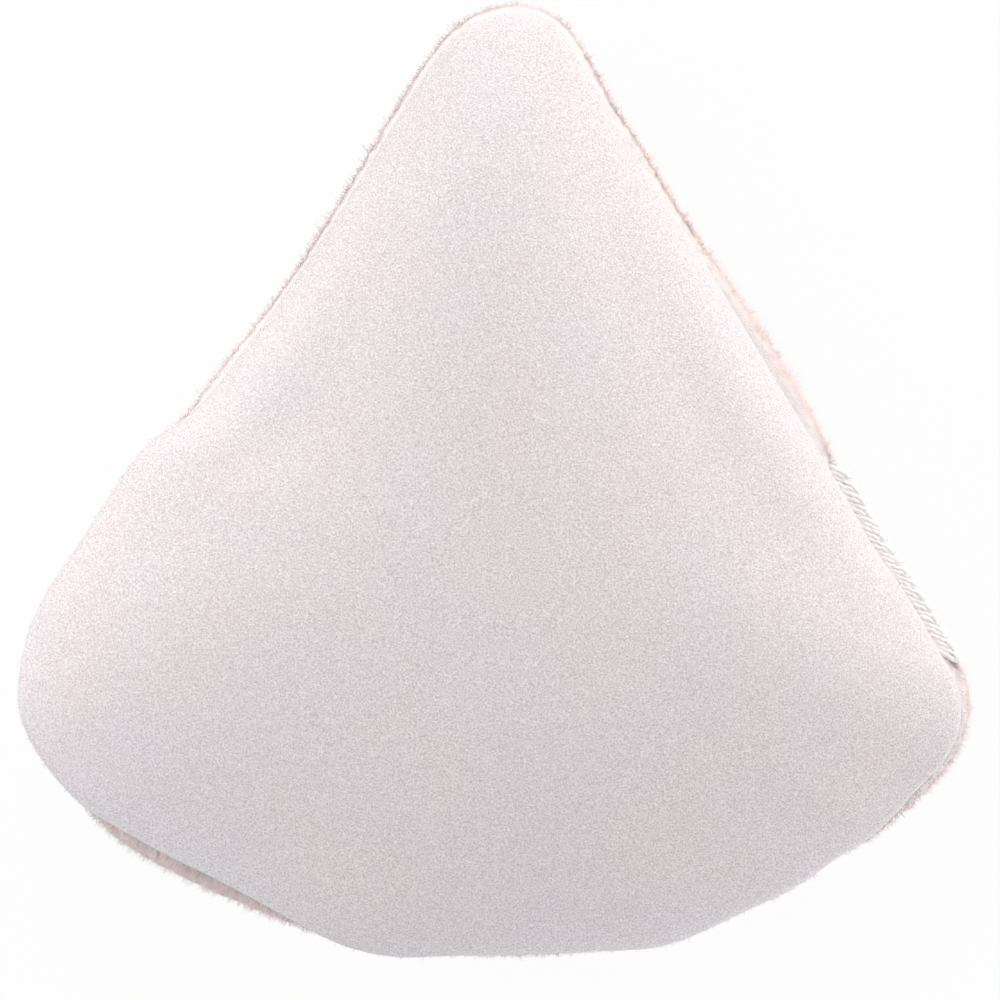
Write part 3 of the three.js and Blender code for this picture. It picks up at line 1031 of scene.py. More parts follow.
@dataclass
class Panel:
    """The middle surface of one side: a tucked edge, a shoulder and a crown.

    Its two shares are how far round the edge a point is, and how far across the
    panel, from 0 at the seam, over edge_rows at the shoulder, to 1 in the middle.
    The crown follows the form more and more over these depths from the edge.
    """

    rim: Rim
    form: InflatedForm
    side: Side
    seam_gap: float = 0.05
    edge_rows: float = 0.24
    follow: Span = (1.5, 8.0)

    @cached_property
    def mean_span(self) -> float:
        """The mean span from the middle to the edge, in metres."""
        edge = self.rim.place(self.rim.spaced(360), self.side.value.bulge, 0.0)
        return float(np.linalg.norm(edge[:, :2] - self.rim.centre, axis=1).mean())

    def crown_share(self, across: Array) -> Array:
        """Gives the share of the crown, 1 at the shoulder, from the share across."""
        inner = np.clip((across - self.edge_rows) / (1 - self.edge_rows), 0.0, 1.0)
        return np.where(across > 0.9999, 0.0, 1.0 - inner**1.35)

    def crown(self, distance: Array, share: Array, inset: float = 0.0) -> Array:
        """Gives points of the crown.

        Args:
            distance: places along the edge, in millimetres.
            share: how far out each point is, 1 at the shoulder and 0 in the middle.
            inset: how far the surface lies inside the fabric, in millimetres.

        Returns:
            Points in metres.
        """
        loft = self.side.value
        shoulder, rise = loft.shoulder, loft.rise - inset
        out = mix(loft.bulge, loft.closing_bulge, self.rim.closing(distance)) - inset
        edge = self.rim.place(distance, out, loft.sign * shoulder)
        plan, depth = self.rim.drawn_in(edge, share, self.mean_span)
        plain = mix(shoulder, rise, swell(share))
        swelled = self.form.height(plan, self.side)
        grown = (swelled - shoulder) * (rise - shoulder) / (loft.rise - shoulder)
        followed = mix(plain, shoulder + grown, ease(depth / MM, *self.follow))
        height = np.where(np.isnan(swelled), plain, followed)
        return np.column_stack([plan, (self.rim.seam_height + loft.sign * height) * MM])

    def edge(self, distance: Array, share: Array) -> Array:
        """Gives points of the tucked edge.

        Args:
            distance: places along the edge, in millimetres.
            share: how far each point is from the seam, 0, to the shoulder, 1.

        Returns:
            Points in metres.
        """
        loft, closing = self.side.value, self.rim.closing(distance)
        bulge = mix(loft.bulge, loft.closing_bulge, closing)
        tuck = np.minimum(mix(-self.rim.seam_tuck, -self.rim.closing_wall, closing), bulge - 0.1)
        controls = (
            (tuck, self.seam_gap),
            (mix(tuck, bulge, 0.8), self.seam_gap + 0.05),
            (bulge, 0.45 * loft.shoulder),
            (bulge, loft.shoulder),
        )
        out, height = section(controls, share)
        return self.rim.place(distance, out, loft.sign * height)

    def surface(self, around: Array, across: Array) -> Array:
        """Gives points of the whole panel.

        Args:
            around: their shares round the edge.
            across: their shares across the panel.

        Returns:
            Points in metres.
        """
        distance, inner = around * self.rim.length, across >= self.edge_rows
        points = self.edge(distance, across / self.edge_rows)
        points[inner] = self.crown(distance[inner], self.crown_share(across[inner]))
        return points

    def outward(self, middles: Array) -> Array:
        """Gives directions away from a point inside the puff."""
        return middles - np.array([*self.rim.centre, self.rim.seam_height * MM])


@dataclass
class Strip:
    """A flat strip of fabric that follows the edge, with rounded long sides.

    It has a first and last distance along the edge, an inner and outer side, and
    a lower and upper face. Its ends narrow to the inner side over its taper.
    """

    rim: Rim
    reach: Span
    outs: Span
    heights: Span
    columns: int
    taper: float = 0.3

    @property
    def level(self) -> float:
        """The height of its middle."""
        return (self.heights[1] + self.heights[0]) / 2

    def _place(self, along: Array, across: Array) -> Array:
        """Wraps the grid round the strip's rounded section.

        Args:
            along: shares along the strip.
            across: shares round its section.

        Returns:
            Points in metres.
        """
        angle = across * 2 * math.pi
        x = np.sign(np.cos(angle)) * np.abs(np.cos(angle)) ** 0.35
        y = np.sign(np.sin(angle)) * np.abs(np.sin(angle)) ** 0.6
        distance = mix(*self.reach, along)
        end = np.minimum(distance - self.reach[0], self.reach[1] - distance) / self.taper
        wide = np.sqrt(np.clip(1 - (1 - np.clip(end, 0, 1)) ** 2, 0, 1))
        out = self.outs[0] + (self.outs[1] - self.outs[0]) / 2 * wide * (1 + x)
        thick = (self.heights[1] - self.heights[0]) / 2
        return self.rim.place(distance, out, self.level + thick * y * np.minimum(1, 3 * wide))

    def _outward(self, middles: Array) -> Array:
        """Gives directions away from the strip's middle line."""
        line = self.rim.place(np.linspace(*self.reach, 80), sum(self.outs) / 2, self.level)
        return middles - line[((middles[:, None] - line[None]) ** 2).sum(2).argmin(axis=1)]

    def build(self, name: str) -> Piece:
        """Makes the strip as a closed mesh with this name."""
        piece = Bench.roll_sheet(name, (self.columns, 16), self._place, self._outward)
        bpy.ops.object.shade_smooth_by_angle(angle=math.radians(50))
        return piece


def finish_piece(piece: Piece, material: bpy.types.Material, node: str) -> Piece:
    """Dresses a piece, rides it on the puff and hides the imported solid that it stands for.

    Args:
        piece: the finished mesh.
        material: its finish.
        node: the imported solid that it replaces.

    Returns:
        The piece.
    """
    piece.data.materials.clear()
    piece.data.materials.append(material)
    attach(piece, "root")
    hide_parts(node)
    log.info("%s has %d faces", piece.name, len(piece.data.polygons))
    return piece


@dataclass
class SewnFabric:
    """One panel of fabric, with its turned-in allowance and its closing lip."""

    rim: Rim
    form: InflatedForm
    finish: BrushedMicrofibre | GroundKnit
    side: Side
    name: str
    slot: str
    node: str
    thickness: float
    grid: tuple[int, int]
    allowance: Span
    lip: Span
    lip_reach: Span
    lip_taper: float
    allowance_outs: Span = (-5.2, -1.5)
    lip_outs: Span = (-0.9, 0.6)
    columns: tuple[int, int] = (120, 70)

    def build(self) -> Piece:
        """Builds the fabric as one padded piece with its thickness."""
        rim, panel = self.rim, Panel(self.rim, self.form, self.side)
        fabric = Bench.roll_sheet(self.name, self.grid, panel.surface, panel.outward)
        Bench.apply(fabric, "SUBSURF", levels=1, render_levels=1)
        Bench.apply(fabric, "SOLIDIFY", thickness=self.thickness * MM, offset=-1.0, use_rim=True)
        Bench.smooth(fabric)
        sewn = (rim.closing_length + rim.closing_blend, rim.length - rim.closing_blend)
        allowance = Strip(rim, sewn, self.allowance_outs, self.allowance, self.columns[0])
        lip = Strip(rim, self.lip_reach, self.lip_outs, self.lip, self.columns[1], self.lip_taper)
        fabric = Bench.join(self.name, fabric, allowance.build("allowance"), lip.build("lip"))
        self.mark(fabric)
        finish_piece(fabric, self.finish.material(), self.node)
        return fabric

    def mark(self, fabric: Piece) -> None:
        """Leaves the fabric as it is, unless its finish reads marks."""


@dataclass
class FaceCover(SewnFabric):
    """The smooth crowned panel."""

    side: Side = Side.FACE
    name: str = "face_cover_fabric"
    slot: str = "face_fabric"
    node: str = "face_cover"
    thickness: float = 0.7
    grid: tuple[int, int] = (200, 36)
    allowance: Span = (0.05, 0.6)
    lip: Span = (0.05, 0.42)
    lip_reach: Span = (-0.8, 18.8)
    lip_taper: float = 2.4
    # how far in from the edge the painted shade reaches
    edge_shade_reach: float = 0.9
    # how far in from the edge the painted rim light reaches
    painted_rim_light_reach: float = 1.8

    def mark(self, fabric: Piece) -> None:
        """Writes how near the edge each point is, for the painted shade, and how much painted rim
        light the face gets there.
        """
        distance, depth = self.rim.beside(Bench.points(fabric))
        # paints a paler rim on the face along its lower and lower-left sides, standing in for light
        # that the edge catches there
        painted_rim_light = self.rim.face_painted_rim_light.at(distance, self.rim.length)
        painted_rim_light *= np.exp(-((depth / self.painted_rim_light_reach) ** 1.5))
        # the first channel paints shade next to the edge, the second paints the rim light
        Bench.mark(fabric, "rim", np.exp(-depth / self.edge_shade_reach), painted_rim_light)


@dataclass
class GroundFabric(SewnFabric):
    """The knit that carries the pile."""

    side: Side = Side.BACK
    name: str = "ground_fabric_knit"
    slot: str = "ground_knit"
    node: str = "rear_ground_fabric"
    thickness: float = 0.5
    grid: tuple[int, int] = (160, 26)
    allowance: Span = (-0.5, -0.05)
    lip: Span = (-0.42, -0.05)
    lip_reach: Span = (-0.2, 18.2)
    lip_taper: float = 1.2


@dataclass
class FoamCore:
    """The filling, drawn in round the turned-in allowances."""

    rim: Rim
    form: InflatedForm
    finish: OpenCellFoam
    grid: tuple[int, int] = (120, 52)
    crown_rows: float = 0.38
    insets: Span = (1.15, 0.95)
    groove: Span = (-1.5, -6.2)
    groove_level: float = 1.5

    def _place(self, around: Array, across: Array) -> Array:
        """Runs from the middle of the face round the groove to that of the back.

        Args:
            around: shares round the edge.
            across: shares of the way from the face's middle to the back's.

        Returns:
            Points in metres.
        """
        distance = around * self.rim.length
        turn = np.clip((across - self.crown_rows) / (1 - 2 * self.crown_rows), 0, 1)
        out = mix(*self.groove, np.sin(turn * math.pi) ** 0.6)
        points = self.rim.place(distance, out, mix(self.groove_level, -self.groove_level, turn))
        for side, rest, inset in zip(Side, (across, 1 - across), self.insets):
            here = rest < self.crown_rows
            share = np.sin(rest[here] / self.crown_rows * math.pi / 2)
            panel = Panel(self.rim, self.form, side)
            points[here] = panel.crown(distance[here], share, inset)
        return points

    def build(self) -> Piece:
        """Builds the foam as one closed body a little inside both fabrics."""
        outward = Panel(self.rim, self.form, Side.FACE).outward
        foam = Bench.roll_sheet("foam_core_body", self.grid, self._place, outward)
        Bench.smooth(foam)
        finish_piece(foam, self.finish.material(), "foam_core")
        return foam


@dataclass
class PlushPile:
    """The short pile of the back: many curved fibres gathered in small clumps.

    A dense bed fills it, and the fibres' tips stand out of the bed by its depth.
    """

    rim: Rim
    ground: Panel
    finish: PileFibre
    bed_finish: PileBed
    rise: float = 8.0
    drop: float = 1.2
    fuller: float = 1.05
    closing_draw: float = 0.45
    closing_top: float = -1.35
    fibre_width: float = 0.055
    root_depth: float = 0.15
    lengths: Span = (0.82, 1.08)
    gather: Span = (0.05, 0.55)
    clump_gap: float = 1.0
    clump_lengths: Span = (0.9, 1.16)
    stray_share: float = 0.04
    stray_length: float = 1.18
    tip_jitter: float = 0.17
    bow: float = 0.13
    sweep: Span = (0.3, -0.42)
    bed_grid: tuple[int, int] = (700, 64)
    bed_thickness: float = 0.3
    bed_depth: float = 0.30
    pale_depth: float = 0.17
    # how far from the face's edge the painted light on the bed reaches on lit sides
    painted_light_reach: float = 0.6
    wall_depth: float = 0.55
    wall_out: float = -0.45
    bed_tuck: float = 0.08
    tufts: tuple[Span, ...] = ((1.1, 0.26), (0.35, 0.15))
    unlit: tuple[float, ...] = (100, 140, 156, 215)

    def _edge(self, distance: Array) -> tuple[Array, Array]:
        """Says how the pile stands beside the face.

        Args:
            distance: places along the edge.

        Returns:
            How far out and how high it reaches.
        """
        fringe = np.maximum(self.rim.fringe(distance), -0.1)
        held = ease(self.rim.closing(distance, 1.2), 0.55, 1.0)
        lifted = mix(self.rim.lift(distance), self.closing_top, held)
        return fringe - self.rim.closing(distance, 0.6) * self.closing_draw, lifted

    def _least_level(self, distance: Array) -> Array:
        """Gives how high the bed reaches at least, right under the face."""
        return mix(0.05, -2.0, ease(self.rim.closing(distance), 0.0, 0.5))

    def _lit(self, distance: Array) -> Array:
        """Gives how much of the light reaches the fringe, 0 along the lower left side."""
        begin, full, ending, over = self.unlit
        return ease(distance, ending, over) + 1 - ease(distance, begin, full)

    def _side(self, out: Array, top: Array) -> tuple[Array, Array]:
        """Gives the last control point of the pile's side, at its shoulder."""
        return out, np.minimum(top - self.drop, -Side.BACK.value.shoulder)

    def _crown(self, distance: Array, out: Array, across: Array, inset: Array | float) -> Array:
        """Gives points of the underside.

        Args:
            distance: places along the edge.
            out: how far out the shoulder is.
            across: the ground's share across, at or past its shoulder.
            inset: how far the surface lies inside the tips.

        Returns:
            Points in metres.
        """
        share, shoulder = self.ground.crown_share(across), Side.BACK.value.shoulder
        edge = self.rim.place(distance, out, -shoulder)
        plan, _ = self.rim.drawn_in(edge, share, self.ground.mean_span * self.fuller)
        level = self.rim.seam_height - mix(shoulder, self.rise - inset, swell(share))
        return np.column_stack([plan, np.maximum(level, inset) * MM])

    def tip_surface(self, around: Array, across: Array) -> Array:
        """Gives where the tips of the pile lie.

        Args:
            around: the ground's shares round the edge.
            across: its shares across.

        Returns:
            Points in metres.
        """
        distance, inner = around * self.rim.length, across >= self.ground.edge_rows
        out, top = self._edge(distance)
        start = np.minimum(out - 0.1, mix(0.08, -0.08, ease(top, 1.3, 1.8)))
        controls = (
            (start, np.maximum(top, self._least_level(distance) + 0.15)),
            (out * 0.6, top + 0.15),
            (out + 0.05, top - 0.3),
            self._side(out, top),
        )
        points = self.rim.place(distance, *section(controls, across / self.ground.edge_rows))
        points[inner] = self._crown(distance[inner], out[inner], across[inner], 0.0)
        return points

    def bed_surface(self, around: Array, across: Array) -> Array:
        """Gives the dense part of the pile, which the tips stand out of.

        Args:
            around: the ground's shares round the edge.
            across: its shares across.

        Returns:
            Points in metres.
        """
        distance, inner = around * self.rim.length, across >= self.ground.edge_rows
        fringe, top = self._edge(distance)
        depth = mix(self.bed_depth, self.pale_depth, self.rim.painted_light(distance))
        out, level = fringe - depth, top - depth * 0.7
        wall, tuck = np.minimum(fringe - self.wall_depth, self.wall_out), -self.rim.seam_tuck
        shelf = (wall, np.maximum(level, self._least_level(distance)))
        hidden = ((tuck + 0.05, -0.04), (mix(tuck, wall, 0.7), 0.02), (wall - 0.02, level * 0.5))
        shown = ((mix(wall, out, 0.6), level + 0.05), (out + 0.05, level - 0.1))
        places = np.where(
            across < self.bed_tuck,
            section((*hidden, shelf), across / self.bed_tuck),
            section(
                (shelf, *shown, self._side(out, top)),
                (across - self.bed_tuck) / (self.ground.edge_rows - self.bed_tuck),
            ),
        )
        points = self.rim.place(distance, *places)
        points[inner] = self._crown(distance[inner], out[inner], across[inner], depth[inner])
        return points

    def _bed(self) -> Piece:
        """Models the dense part of the pile as one soft, tufted layer."""
        bed = Bench.roll_sheet("pile_bed", self.bed_grid, self.bed_surface, self.ground.outward)
        for size, depth in self.tufts:
            tufts = bpy.data.textures.new("tufts", "CLOUDS")
            tufts.noise_scale = size * MM
            Bench.apply(bed, "DISPLACE", texture=tufts, strength=depth * MM, mid_level=0.5)
        Bench.apply(bed, "SOLIDIFY", thickness=self.bed_thickness * MM, offset=-1.0, use_rim=True)
        Bench.smooth(bed)
        points = Bench.points(bed)
        distance, depth = self.rim.beside(points)
        lit, level = self._lit(distance), points[:, 2] / MM - self.rim.seam_height
        # painted light: the top of the bed is marked paler on its lit sides, and paler still near
        # the face's edge
        shelf = ease(level - self.rim.lift(distance), -1.0, -0.3)
        painted_light = np.maximum(self.rim.painted_light(distance), 0.7 * lit * np.exp(-depth / self.painted_light_reach))
        Bench.mark(bed, "rim", shelf * mix(0.2, 1.0, lit), shelf * painted_light)
        return finish_piece(bed, self.bed_finish.material(), "rear_pile")

    def _roots(self, low: float, high: float, gap: float, rng: np.random.Generator) -> Array:
        """Spreads roots evenly over a band of the ground.

        Args:
            low: the band's first share across the ground.
            high: its last share.
            gap: the space between roots, in millimetres.
            rng: the source of the small unevenness.

        Returns:
            Rows of the two shares of each root.
        """
        fine = np.linspace(low, high, 200)
        sample = np.repeat([0.45, 0.86], len(fine))
        walk = self.ground.surface(sample, np.tile(fine, 2)).reshape(2, -1, 3)
        steps = np.linalg.norm(np.diff(walk, axis=1), axis=2).mean(0) / MM
        length = np.concatenate([[0.0], np.cumsum(steps)])
        count = max(1, int(length[-1] / gap))
        around = np.linspace(0, 1, 240, endpoint=False)
        roots = []
        for share in np.interp((np.arange(count) + 0.5) * length[-1] / count, length, fine):
            ring = self.ground.surface(around, np.full(240, share))
            legs = np.linalg.norm(np.roll(ring, -1, axis=0) - ring, axis=1) / MM
            run = np.concatenate([[0.0], np.cumsum(legs)])
            number = max(3, int(run[-1] / gap))
            spots = (np.arange(number) + rng.random() + rng.uniform(-0.4, 0.4, number)) / number
            turns = np.interp(np.mod(spots, 1.0) * run[-1], run, np.append(around, 1.0))
            rise = share + rng.uniform(-0.45, 0.45, number) * ((high - low) / count)
            roots.append(np.column_stack([np.mod(turns, 1.0), np.clip(rise, 0.0, 0.995)]))
        return np.concatenate(roots)

    @cached_property
    def strand(self) -> tuple[Array, Array]:
        """One fibre, a slim three-sided cone, as points of height 0 to 1 and triangles."""
        Bench.clear()
        bpy.ops.mesh.primitive_cone_add(
            vertices=3, radius1=1.0, radius2=0.0, depth=1.0, location=(0, 0, 0.5)
        )
        strand = bpy.context.object
        bpy.ops.object.transform_apply(location=True)
        with Bench.editing(strand):
            for height in (0.4, 0.75):
                bpy.ops.mesh.select_all(action="SELECT")
                bpy.ops.mesh.bisect(plane_co=(0, 0, height), plane_no=(0, 0, 1))
            bpy.ops.mesh.select_all(action="SELECT")
            bpy.ops.mesh.quads_convert_to_tris()
        points = Bench.points(strand)
        faces = np.array([tuple(face.vertices) for face in strand.data.polygons])
        bpy.data.objects.remove(strand, do_unlink=True)
        full = np.interp(points[:, 2], [0, 0.4, 0.75, 1], [1.0, 1.0, 0.85, 0.0])
        radius = np.linalg.norm(points[:, :2], axis=1, keepdims=True)
        points[:, :2] *= np.where(radius > 1e-6, full[:, None] / np.maximum(radius, 1e-6), 0.0)
        return points, faces

    def _ends(self, spots: Array, length: Array) -> tuple[Array, Array]:
        """Gives the roots and tips at the ground's two shares, for these lengths."""
        roots = self.ground.surface(spots[:, 0], spots[:, 1])
        tips = self.tip_surface(spots[:, 0], spots[:, 1])
        return roots, roots + (tips - roots) * length

    def _clumps(self, rng: np.random.Generator) -> tuple[KDTree, Array, Array]:
        """Spreads the clumps.

        Args:
            rng: the source of their unevenness.

        Returns:
            A tree of their middles, where their tips gather, and their shades.
        """
        spots = self._roots(0.0, 0.995, self.clump_gap, rng)
        roots, tips = self._ends(spots, rng.uniform(*self.clump_lengths, (len(spots), 1)))
        return tree_of(roots), tips, rng.random(len(spots))

    def _grow(
        self,
        name: str,
        spots: Array,
        clumps: tuple[KDTree, Array, Array],
        rng: np.random.Generator,
    ) -> Piece:
        """Copies the fibre to its roots, bends each copy and gathers the tips.

        Args:
            name: the piece's name.
            spots: the two shares of each root.
            clumps: the clumps' tree, tips and shades.
            rng: the source of the unevenness.

        Returns:
            The patch of pile as one mesh.
        """
        pattern, faces = self.strand
        tree, clump_tips, clump_shades = clumps
        count, each = len(spots), (len(spots), 1)
        gather, stray = rng.uniform(*self.gather, each), rng.random(each) < self.stray_share
        length = rng.uniform(*self.lengths, each) * np.where(stray, self.stray_length, 1.0)
        roots, tips = self._ends(spots, length)
        nearest = np.array([tree.find(Vector(root))[1] for root in roots])
        tips = mix(tips, clump_tips[nearest], np.where(stray, self.gather[0], gather))
        tips += rng.normal(0, self.tip_jitter * MM, (count, 3))
        reach = tips - roots
        size = np.linalg.norm(reach, axis=1, keepdims=True)
        axis = reach / np.maximum(size, 1e-9)
        side = np.cross(axis, rng.normal(size=(count, 3)))
        side /= np.linalg.norm(side, axis=1, keepdims=True)
        other = np.cross(axis, side)
        bow = side * rng.normal(0, self.bow, each) + other * rng.normal(0, self.bow, each)
        bow = (bow * size + self._sweep(spots, reach))[:, None]
        sunk = (roots - axis * self.root_depth * MM)[:, None]
        width = (self.fibre_width / 2 * MM * rng.uniform(0.75, 1.25, count))[:, None, None]
        x, y, height = (pattern[None, :, k : k + 1] for k in range(3))
        points = mix(sunk, tips[:, None], height) + bow * 4 * height * (1 - height)
        points += width * (side[:, None] * x + other[:, None] * y)
        points[:, :, 2] = np.maximum(points[:, :, 2], 0.02 * MM)
        order = faces[None] + (np.arange(count) * len(pattern))[:, None, None]
        patch = Bench.triangles(name, points.reshape(-1, 3), order.reshape(-1, 3))
        distance = spots[:, 0] * self.rim.length
        # painted light: fibres at the edge are painted paler, most on the sides where light falls
        painted_light = np.maximum(self.rim.painted_light(distance), 0.6 * self._lit(distance))
        shelf = 1 - ease(spots[:, 1] / self.ground.edge_rows, 0.35, 0.8)
        # own and clump are random shades, lifted towards the painted light colour beside the edge
        # where it is lit
        own = mix(rng.random(count) * mix(0.4, 1.0, shelf), 1.0, shelf * mix(0.5, 0.9, painted_light))
        clump = mix(clump_shades[nearest], 1.0, shelf * mix(0.5, 1.0, painted_light))
        shades = (np.repeat(shade, len(pattern)) for shade in (own, clump))
        Bench.mark(patch, "fibre", np.tile(pattern[:, 2], count), *shades)
        return patch

    def _sweep(self, spots: Array, reach: Array) -> Array:
        """Gives the bow that takes fibres beside the seam out under the face first.

        Args:
            spots: the two shares of each root.
            reach: the way from each root to its tip.

        Returns:
            One row for each fibre.
        """
        _, normals = self.rim.outline.at(spots[:, 0] * self.rim.length)
        near = np.clip(1.0 - spots[:, 1] / self.ground.edge_rows, 0.0, 1.0)
        rising = np.clip(reach[:, 2], 0.0, None) * near
        out, down = (share * rising for share in self.sweep)
        return np.column_stack([normals * out[:, None], down])

    def build(self) -> list[Piece]:
        """Grows the pile in bands, each cut in stretches of the edge."""
        rng = np.random.default_rng(SEED)
        clumps = self._clumps(rng)
        material = self.finish.material()
        patches = [self._bed()]
        for band in Band:
            spots = self._roots(*band.value, rng)
            for stretch in Stretch:
                low, high = stretch.value
                here = (spots[:, 0] >= low) & (spots[:, 0] < high)
                name = f"{band.name}_{stretch.name}".lower()
                patch = self._grow(name, spots[here], clumps, rng)
                patches.append(finish_piece(patch, material, "rear_pile"))
        return patches


@dataclass
class TurnedInSeam:
    """The hidden lockstitch: its needle thread and its bobbin thread.

    Each thread's stitch is a row of places along the stitch and their heights.
    """

    rim: Rim
    finish: SpunThread
    thread: float = 0.2
    stitch: float = 3.5
    tuck: float = 1.8
    needle: tuple[Span, ...] = (
        (-0.42, 0.75), (-0.08, 0.75), (-0.05, 0.0), (-0.05, -0.65), (0.0, -0.8),
        (0.05, -0.65), (0.05, 0.0), (0.08, 0.75), (0.42, 0.75),
    )
    bobbin: tuple[Span, ...] = ((-0.9, -0.65), (-0.3, -0.65), (0.0, -0.55), (0.3, -0.65))

    def build(self) -> list[Piece]:
        """Builds both threads along the seam, inside the puff."""
        start = self.rim.closing_length + self.rim.closing_blend
        end = self.rim.length - self.rim.closing_blend
        count = round((end - start) / self.stitch)
        holes = [start + (k + 0.5) * (end - start) / count for k in range(count)]
        material, made = self.finish.material(), []
        for kind, stitch in (("needle", self.needle), ("bobbin", self.bobbin)):
            rows = np.array([(hole + along, level) for hole in holes for along, level in stitch])
            path = self.rim.place(rows[:, 0], -self.rim.seam_tuck - self.tuck, rows[:, 1])
            piece = Bench.tube(f"lockstitch_{kind}_thread", path, self.thread / 2 * MM, 6)
            made.append(finish_piece(piece, material, f"seam_{kind}_thread"))
        return made


@dataclass
class ClosingSeam:
    """The overlocked closing: a needle thread and two looper threads.

    The looper threads are woolly two-ply yarns. They lie slanted over the lips,
    turn about the needle line and hook into each other at the raw edge. A thread
    is a list of places of the edge that it passes.
    """

    rim: Rim
    finish: WoollyYarn
    stitches: int = 16
    first: float = 0.6
    yarn: float = 0.44
    needle: float = 0.17
    lean: float = 1.35
    inner: float = -0.18
    outer: float = 0.72
    lip_top: float = 0.42
    upper_turn: float = 0.34
    lower_turn: float = 0.2
    ply_turn: float = 1.3
    ply_offset: float = 0.085
    ply_radius: float = 0.405
    step: float = 0.06
    looseness: Place = (0.035, 0.02, 0.02)

    @property
    def pitch(self) -> float:
        """The length of a stitch."""
        return (self.rim.closing_length + 0.3 - self.first) / self.stitches

    @property
    def yarn_level(self) -> float:
        """The height of a looper thread's middle line on the lip."""
        return self.lip_top + self.yarn / 2 + 0.03

    def _starts(self, share: float) -> list[float]:
        """Gives the distances along the edge this share of the way through each stitch."""
        return [self.first + (k + share) * self.pitch for k in range(self.stitches)]

    def _path(self, places: Sequence[Place]) -> Array:
        """Smooths places of the edge into an even path.

        Args:
            places: distance, out and height of each point that the thread passes.

        Returns:
            The path in metres.
        """
        points = self.rim.place(*np.array(places, float).T)
        before = np.vstack([2 * points[0] - points[1], points[:-1]])
        after = np.vstack([points[1:], 2 * points[-1] - points[-2]])
        slope = (after - before) / 2
        t = np.linspace(0, 1, 12, endpoint=False)[:, None]
        weights = (2 * t**3 - 3 * t**2 + 1, t**3 - 2 * t**2 + t, 3 * t**2 - 2 * t**3, t**3 - t**2)
        knots = zip(points[:-1], slope[:-1], points[1:], slope[1:])
        fine = [sum(weight * knot for weight, knot in zip(weights, four)) for four in knots]
        line = np.vstack([*fine, points[-1:]])
        run = run_along(line)
        even = np.linspace(0, run[-1], max(2, int(run[-1] / (self.step * MM))))
        return np.column_stack([np.interp(even, run, line[:, k]) for k in range(3)])

    def _yarn(self, name: str, places: Sequence[Place], width: float) -> Piece:
        """Twists two plies round a path.

        Args:
            name: the piece's name.
            places: what the yarn passes, as distances, outs and heights.
            width: the yarn's thickness, in millimetres.

        Returns:
            Both plies as one mesh.
        """
        path = self._path(places)
        tangent = np.gradient(path, axis=0)
        tangent /= np.linalg.norm(tangent, axis=1, keepdims=True)
        side = np.empty_like(path)
        side[0] = np.cross(tangent[0], [0.1, 0.2, 1.0])
        for k in range(1, len(path)):
            side[k] = side[k - 1] - tangent[k] * (side[k - 1] @ tangent[k])
            side[k] /= np.linalg.norm(side[k])
        side[0] = side[1]
        other = np.cross(tangent, side)
        plies = []
        for start in (0.0, math.pi):
            angle = (run_along(path) / (self.ply_turn * MM) * 2 * math.pi + start)[:, None]
            offset = (side * np.cos(angle) + other * np.sin(angle)) * (width * self.ply_offset * MM)
            radius = width * self.ply_radius * MM
            plies.append(Bench.tube(f"{name}_ply", path + offset, radius, 8))
        return Bench.join(name, *plies)

    def _loosened(self, places: Sequence[Place], seed: int) -> Array:
        """Moves each place a little, as a hand-guided seam does."""
        rows = np.array(places, float)
        return rows + np.random.default_rng(seed).normal(0, 1, rows.shape) * self.looseness

    def _leg(self, start: float, level: float, turned: float) -> list[Place]:
        """Lays a strand slanted over the lips, from the needle line out.

        Args:
            start: its distance along the edge at the needle line.
            level: the height of its middle line, below zero under the lips.
            turned: how far it drops towards the lips at the raw edge.

        Returns:
            Its places from the inside out.
        """
        sign = math.copysign(1.0, level)
        shape = ((0.0, -0.03), (0.3, 0.05), (0.7, 0.03), (1.0, -0.08))
        return [
            (start - self.lean * share, mix(self.inner, self.outer, share), level + sign * rise)
            for share, rise in shape
        ] + [(start - self.lean - 0.1, self.outer + 0.12, level - sign * turned)]

    def _upper(self) -> Array:
        """Lays the looper thread that lies on the face's lip."""
        top, end = self.yarn_level, self.rim.closing_length
        places = [(-1.9, -0.4, 0.2), (-1.5, -0.1, 0.3)]
        for start in self._starts(0.25):
            places += self._leg(start, top, self.upper_turn)
            places += self._leg(start + self.pitch / 2, top, self.upper_turn)[::-1]
            places.append((start + self.pitch * 0.75, self.inner - 0.06, top - 0.05))
        places += [(end + 0.4, 0.0, 0.3), (end + 1.0, -0.4, 0.2)]
        return self._loosened(places, SEED + 1)

    def _lower(self) -> Array:
        """Lays the looper thread under the lips, which comes over the edge."""
        top, far, wide = self.yarn_level, self.outer + 0.28, self.pitch * 0.55
        over = (
            (0.06, far, 0.0), (0.1, far - 0.06, top - 0.22), (0.24, far - 0.2, top + 0.03),
            (wide - 0.12, far - 0.2, top + 0.03), (wide + 0.02, far - 0.06, top - 0.22),
            (wide + 0.06, far, 0.0),
        )
        places = []
        for start in self._starts(0.25):
            places += self._leg(start, -top, self.lower_turn)
            places += [(start - self.lean + along, out, level) for along, out, level in over]
            places += self._leg(start + wide, -top, self.lower_turn)[::-1]
        return self._loosened(places, SEED + 2)

    def _needle(self) -> list[Place]:
        """Lays the needle thread, which dips through both lips."""
        top, low, out = self.lip_top + 0.1, -self.lip_top - 0.35, self.inner - 0.06
        half = [(0.4, top + 0.28), (0.12, top + 0.2), (0.06, 0.0), (0.05, low)]
        dip = [(-along, level) for along, level in half] + half[::-1]
        return [(hole + along, out, level) for hole in self._starts(0.75) for along, level in dip]

